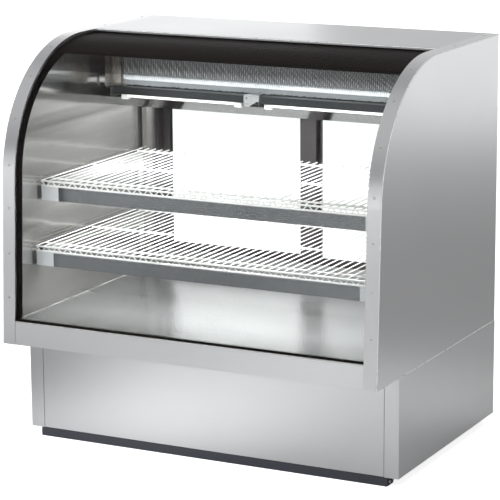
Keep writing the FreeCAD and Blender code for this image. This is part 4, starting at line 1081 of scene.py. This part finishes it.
def make_lights():
    """Soft boxes round the case, a card mirrored in its top, and the lamps inside."""
    middle = (LOW + HIGH) / 2
    area_light("key", (-2.0, -2.6, 3.4), middle, 2.2, 70)
    area_light("top", (0.6, 0.8, 4.2), middle, 2.6, 50)
    area_light("front", (-0.6, -2.0, 1.5), middle + Vector((0, 0, 0.15)), 1.2, 28)
    area_light("card", (-2.1, 2.6, 1.9), (0, 0, TOP_Z), 2.0, 6.6, 1.4, True)
    slim = 20 * MM
    lamp_low, lamp_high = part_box("canopy_lamps")
    y = (lamp_low.y + lamp_high.y) / 2
    area_light("canopy_glow", (0, y, lamp_low.z - 40 * MM), (0, y + 0.02, 0), 0.85, 14, slim)
    coil_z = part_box("evaporator_fins")[0].z
    rib_place = (0, y + 0.022, lamp_high.z + 6 * MM)
    area_light("rib_glow", rib_place, (0, y + 0.075, coil_z + 0.03), 0.98, 0.35, slim)
    area_light("coil_glow", (0.1, y - 0.14, coil_z + 0.07), (0.1, y, coil_z + 0.05), 1.0, 1.9, 0.1)
    for shelf in ("upper_shelf", "lower_shelf"):
        low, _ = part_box(shelf)
        place = Vector((0, low.y + 0.05, low.z - 0.012))
        area_light("shelf_glow", place, place + Vector((0, 0.3, -0.4)), 1.0, 4, slim)


CAMERA_AZIMUTH = math.radians(27.10)
CAMERA_ELEVATION = math.radians(12.58)
CAMERA_DISTANCE = 7.008
CAMERA_ROLL = math.radians(-0.41)
CAMERA_TARGET = Vector((-0.007, 0.0, 0.577))
SENSOR = 36.0
LENS = 167.04


def make_camera():
    """Three-quarter view from the customer's right, a little above."""
    data = bpy.data.cameras.new("camera")
    data.sensor_width = SENSOR
    data.lens = LENS
    data.clip_end = 100.0
    camera = bpy.data.objects.new("camera", data)
    bpy.context.scene.collection.objects.link(camera)
    bpy.context.scene.camera = camera
    back = Vector((math.sin(CAMERA_AZIMUTH) * math.cos(CAMERA_ELEVATION),
                   -math.cos(CAMERA_AZIMUTH) * math.cos(CAMERA_ELEVATION), math.sin(CAMERA_ELEVATION)))
    right = back.cross(Vector((0, 0, -1))).normalized()
    up = back.cross(right)
    tilted_right = math.cos(CAMERA_ROLL) * right + math.sin(CAMERA_ROLL) * up
    tilted_up = -math.sin(CAMERA_ROLL) * right + math.cos(CAMERA_ROLL) * up
    place = CAMERA_TARGET + back * CAMERA_DISTANCE
    camera.matrix_world = Matrix((
        (tilted_right.x, tilted_up.x, back.x, place.x),
        (tilted_right.y, tilted_up.y, back.y, place.y),
        (tilted_right.z, tilted_up.z, back.z, place.z),
        (0, 0, 0, 1),
    ))


dress_nodes()
round_edges()
make_trim_screws()
make_rear_screws()
make_bracket_screws()
make_rail_bolts()
make_glass_dots()
make_fin_pack()
make_lamp_caps()
make_lamp_lenses()
make_painted_highlights()
make_hem_seal()
make_floor_joints()
make_wire_shelf("upper_shelf", "upper_wire_shelf")
make_wire_shelf("lower_shelf", "lower_wire_shelf")
make_door_gaskets("left")
make_door_gaskets("right")
make_dial_scale()
make_floor()
make_world()
make_lights()
make_camera()
bpy.context.scene.view_settings.view_transform = "Standard"
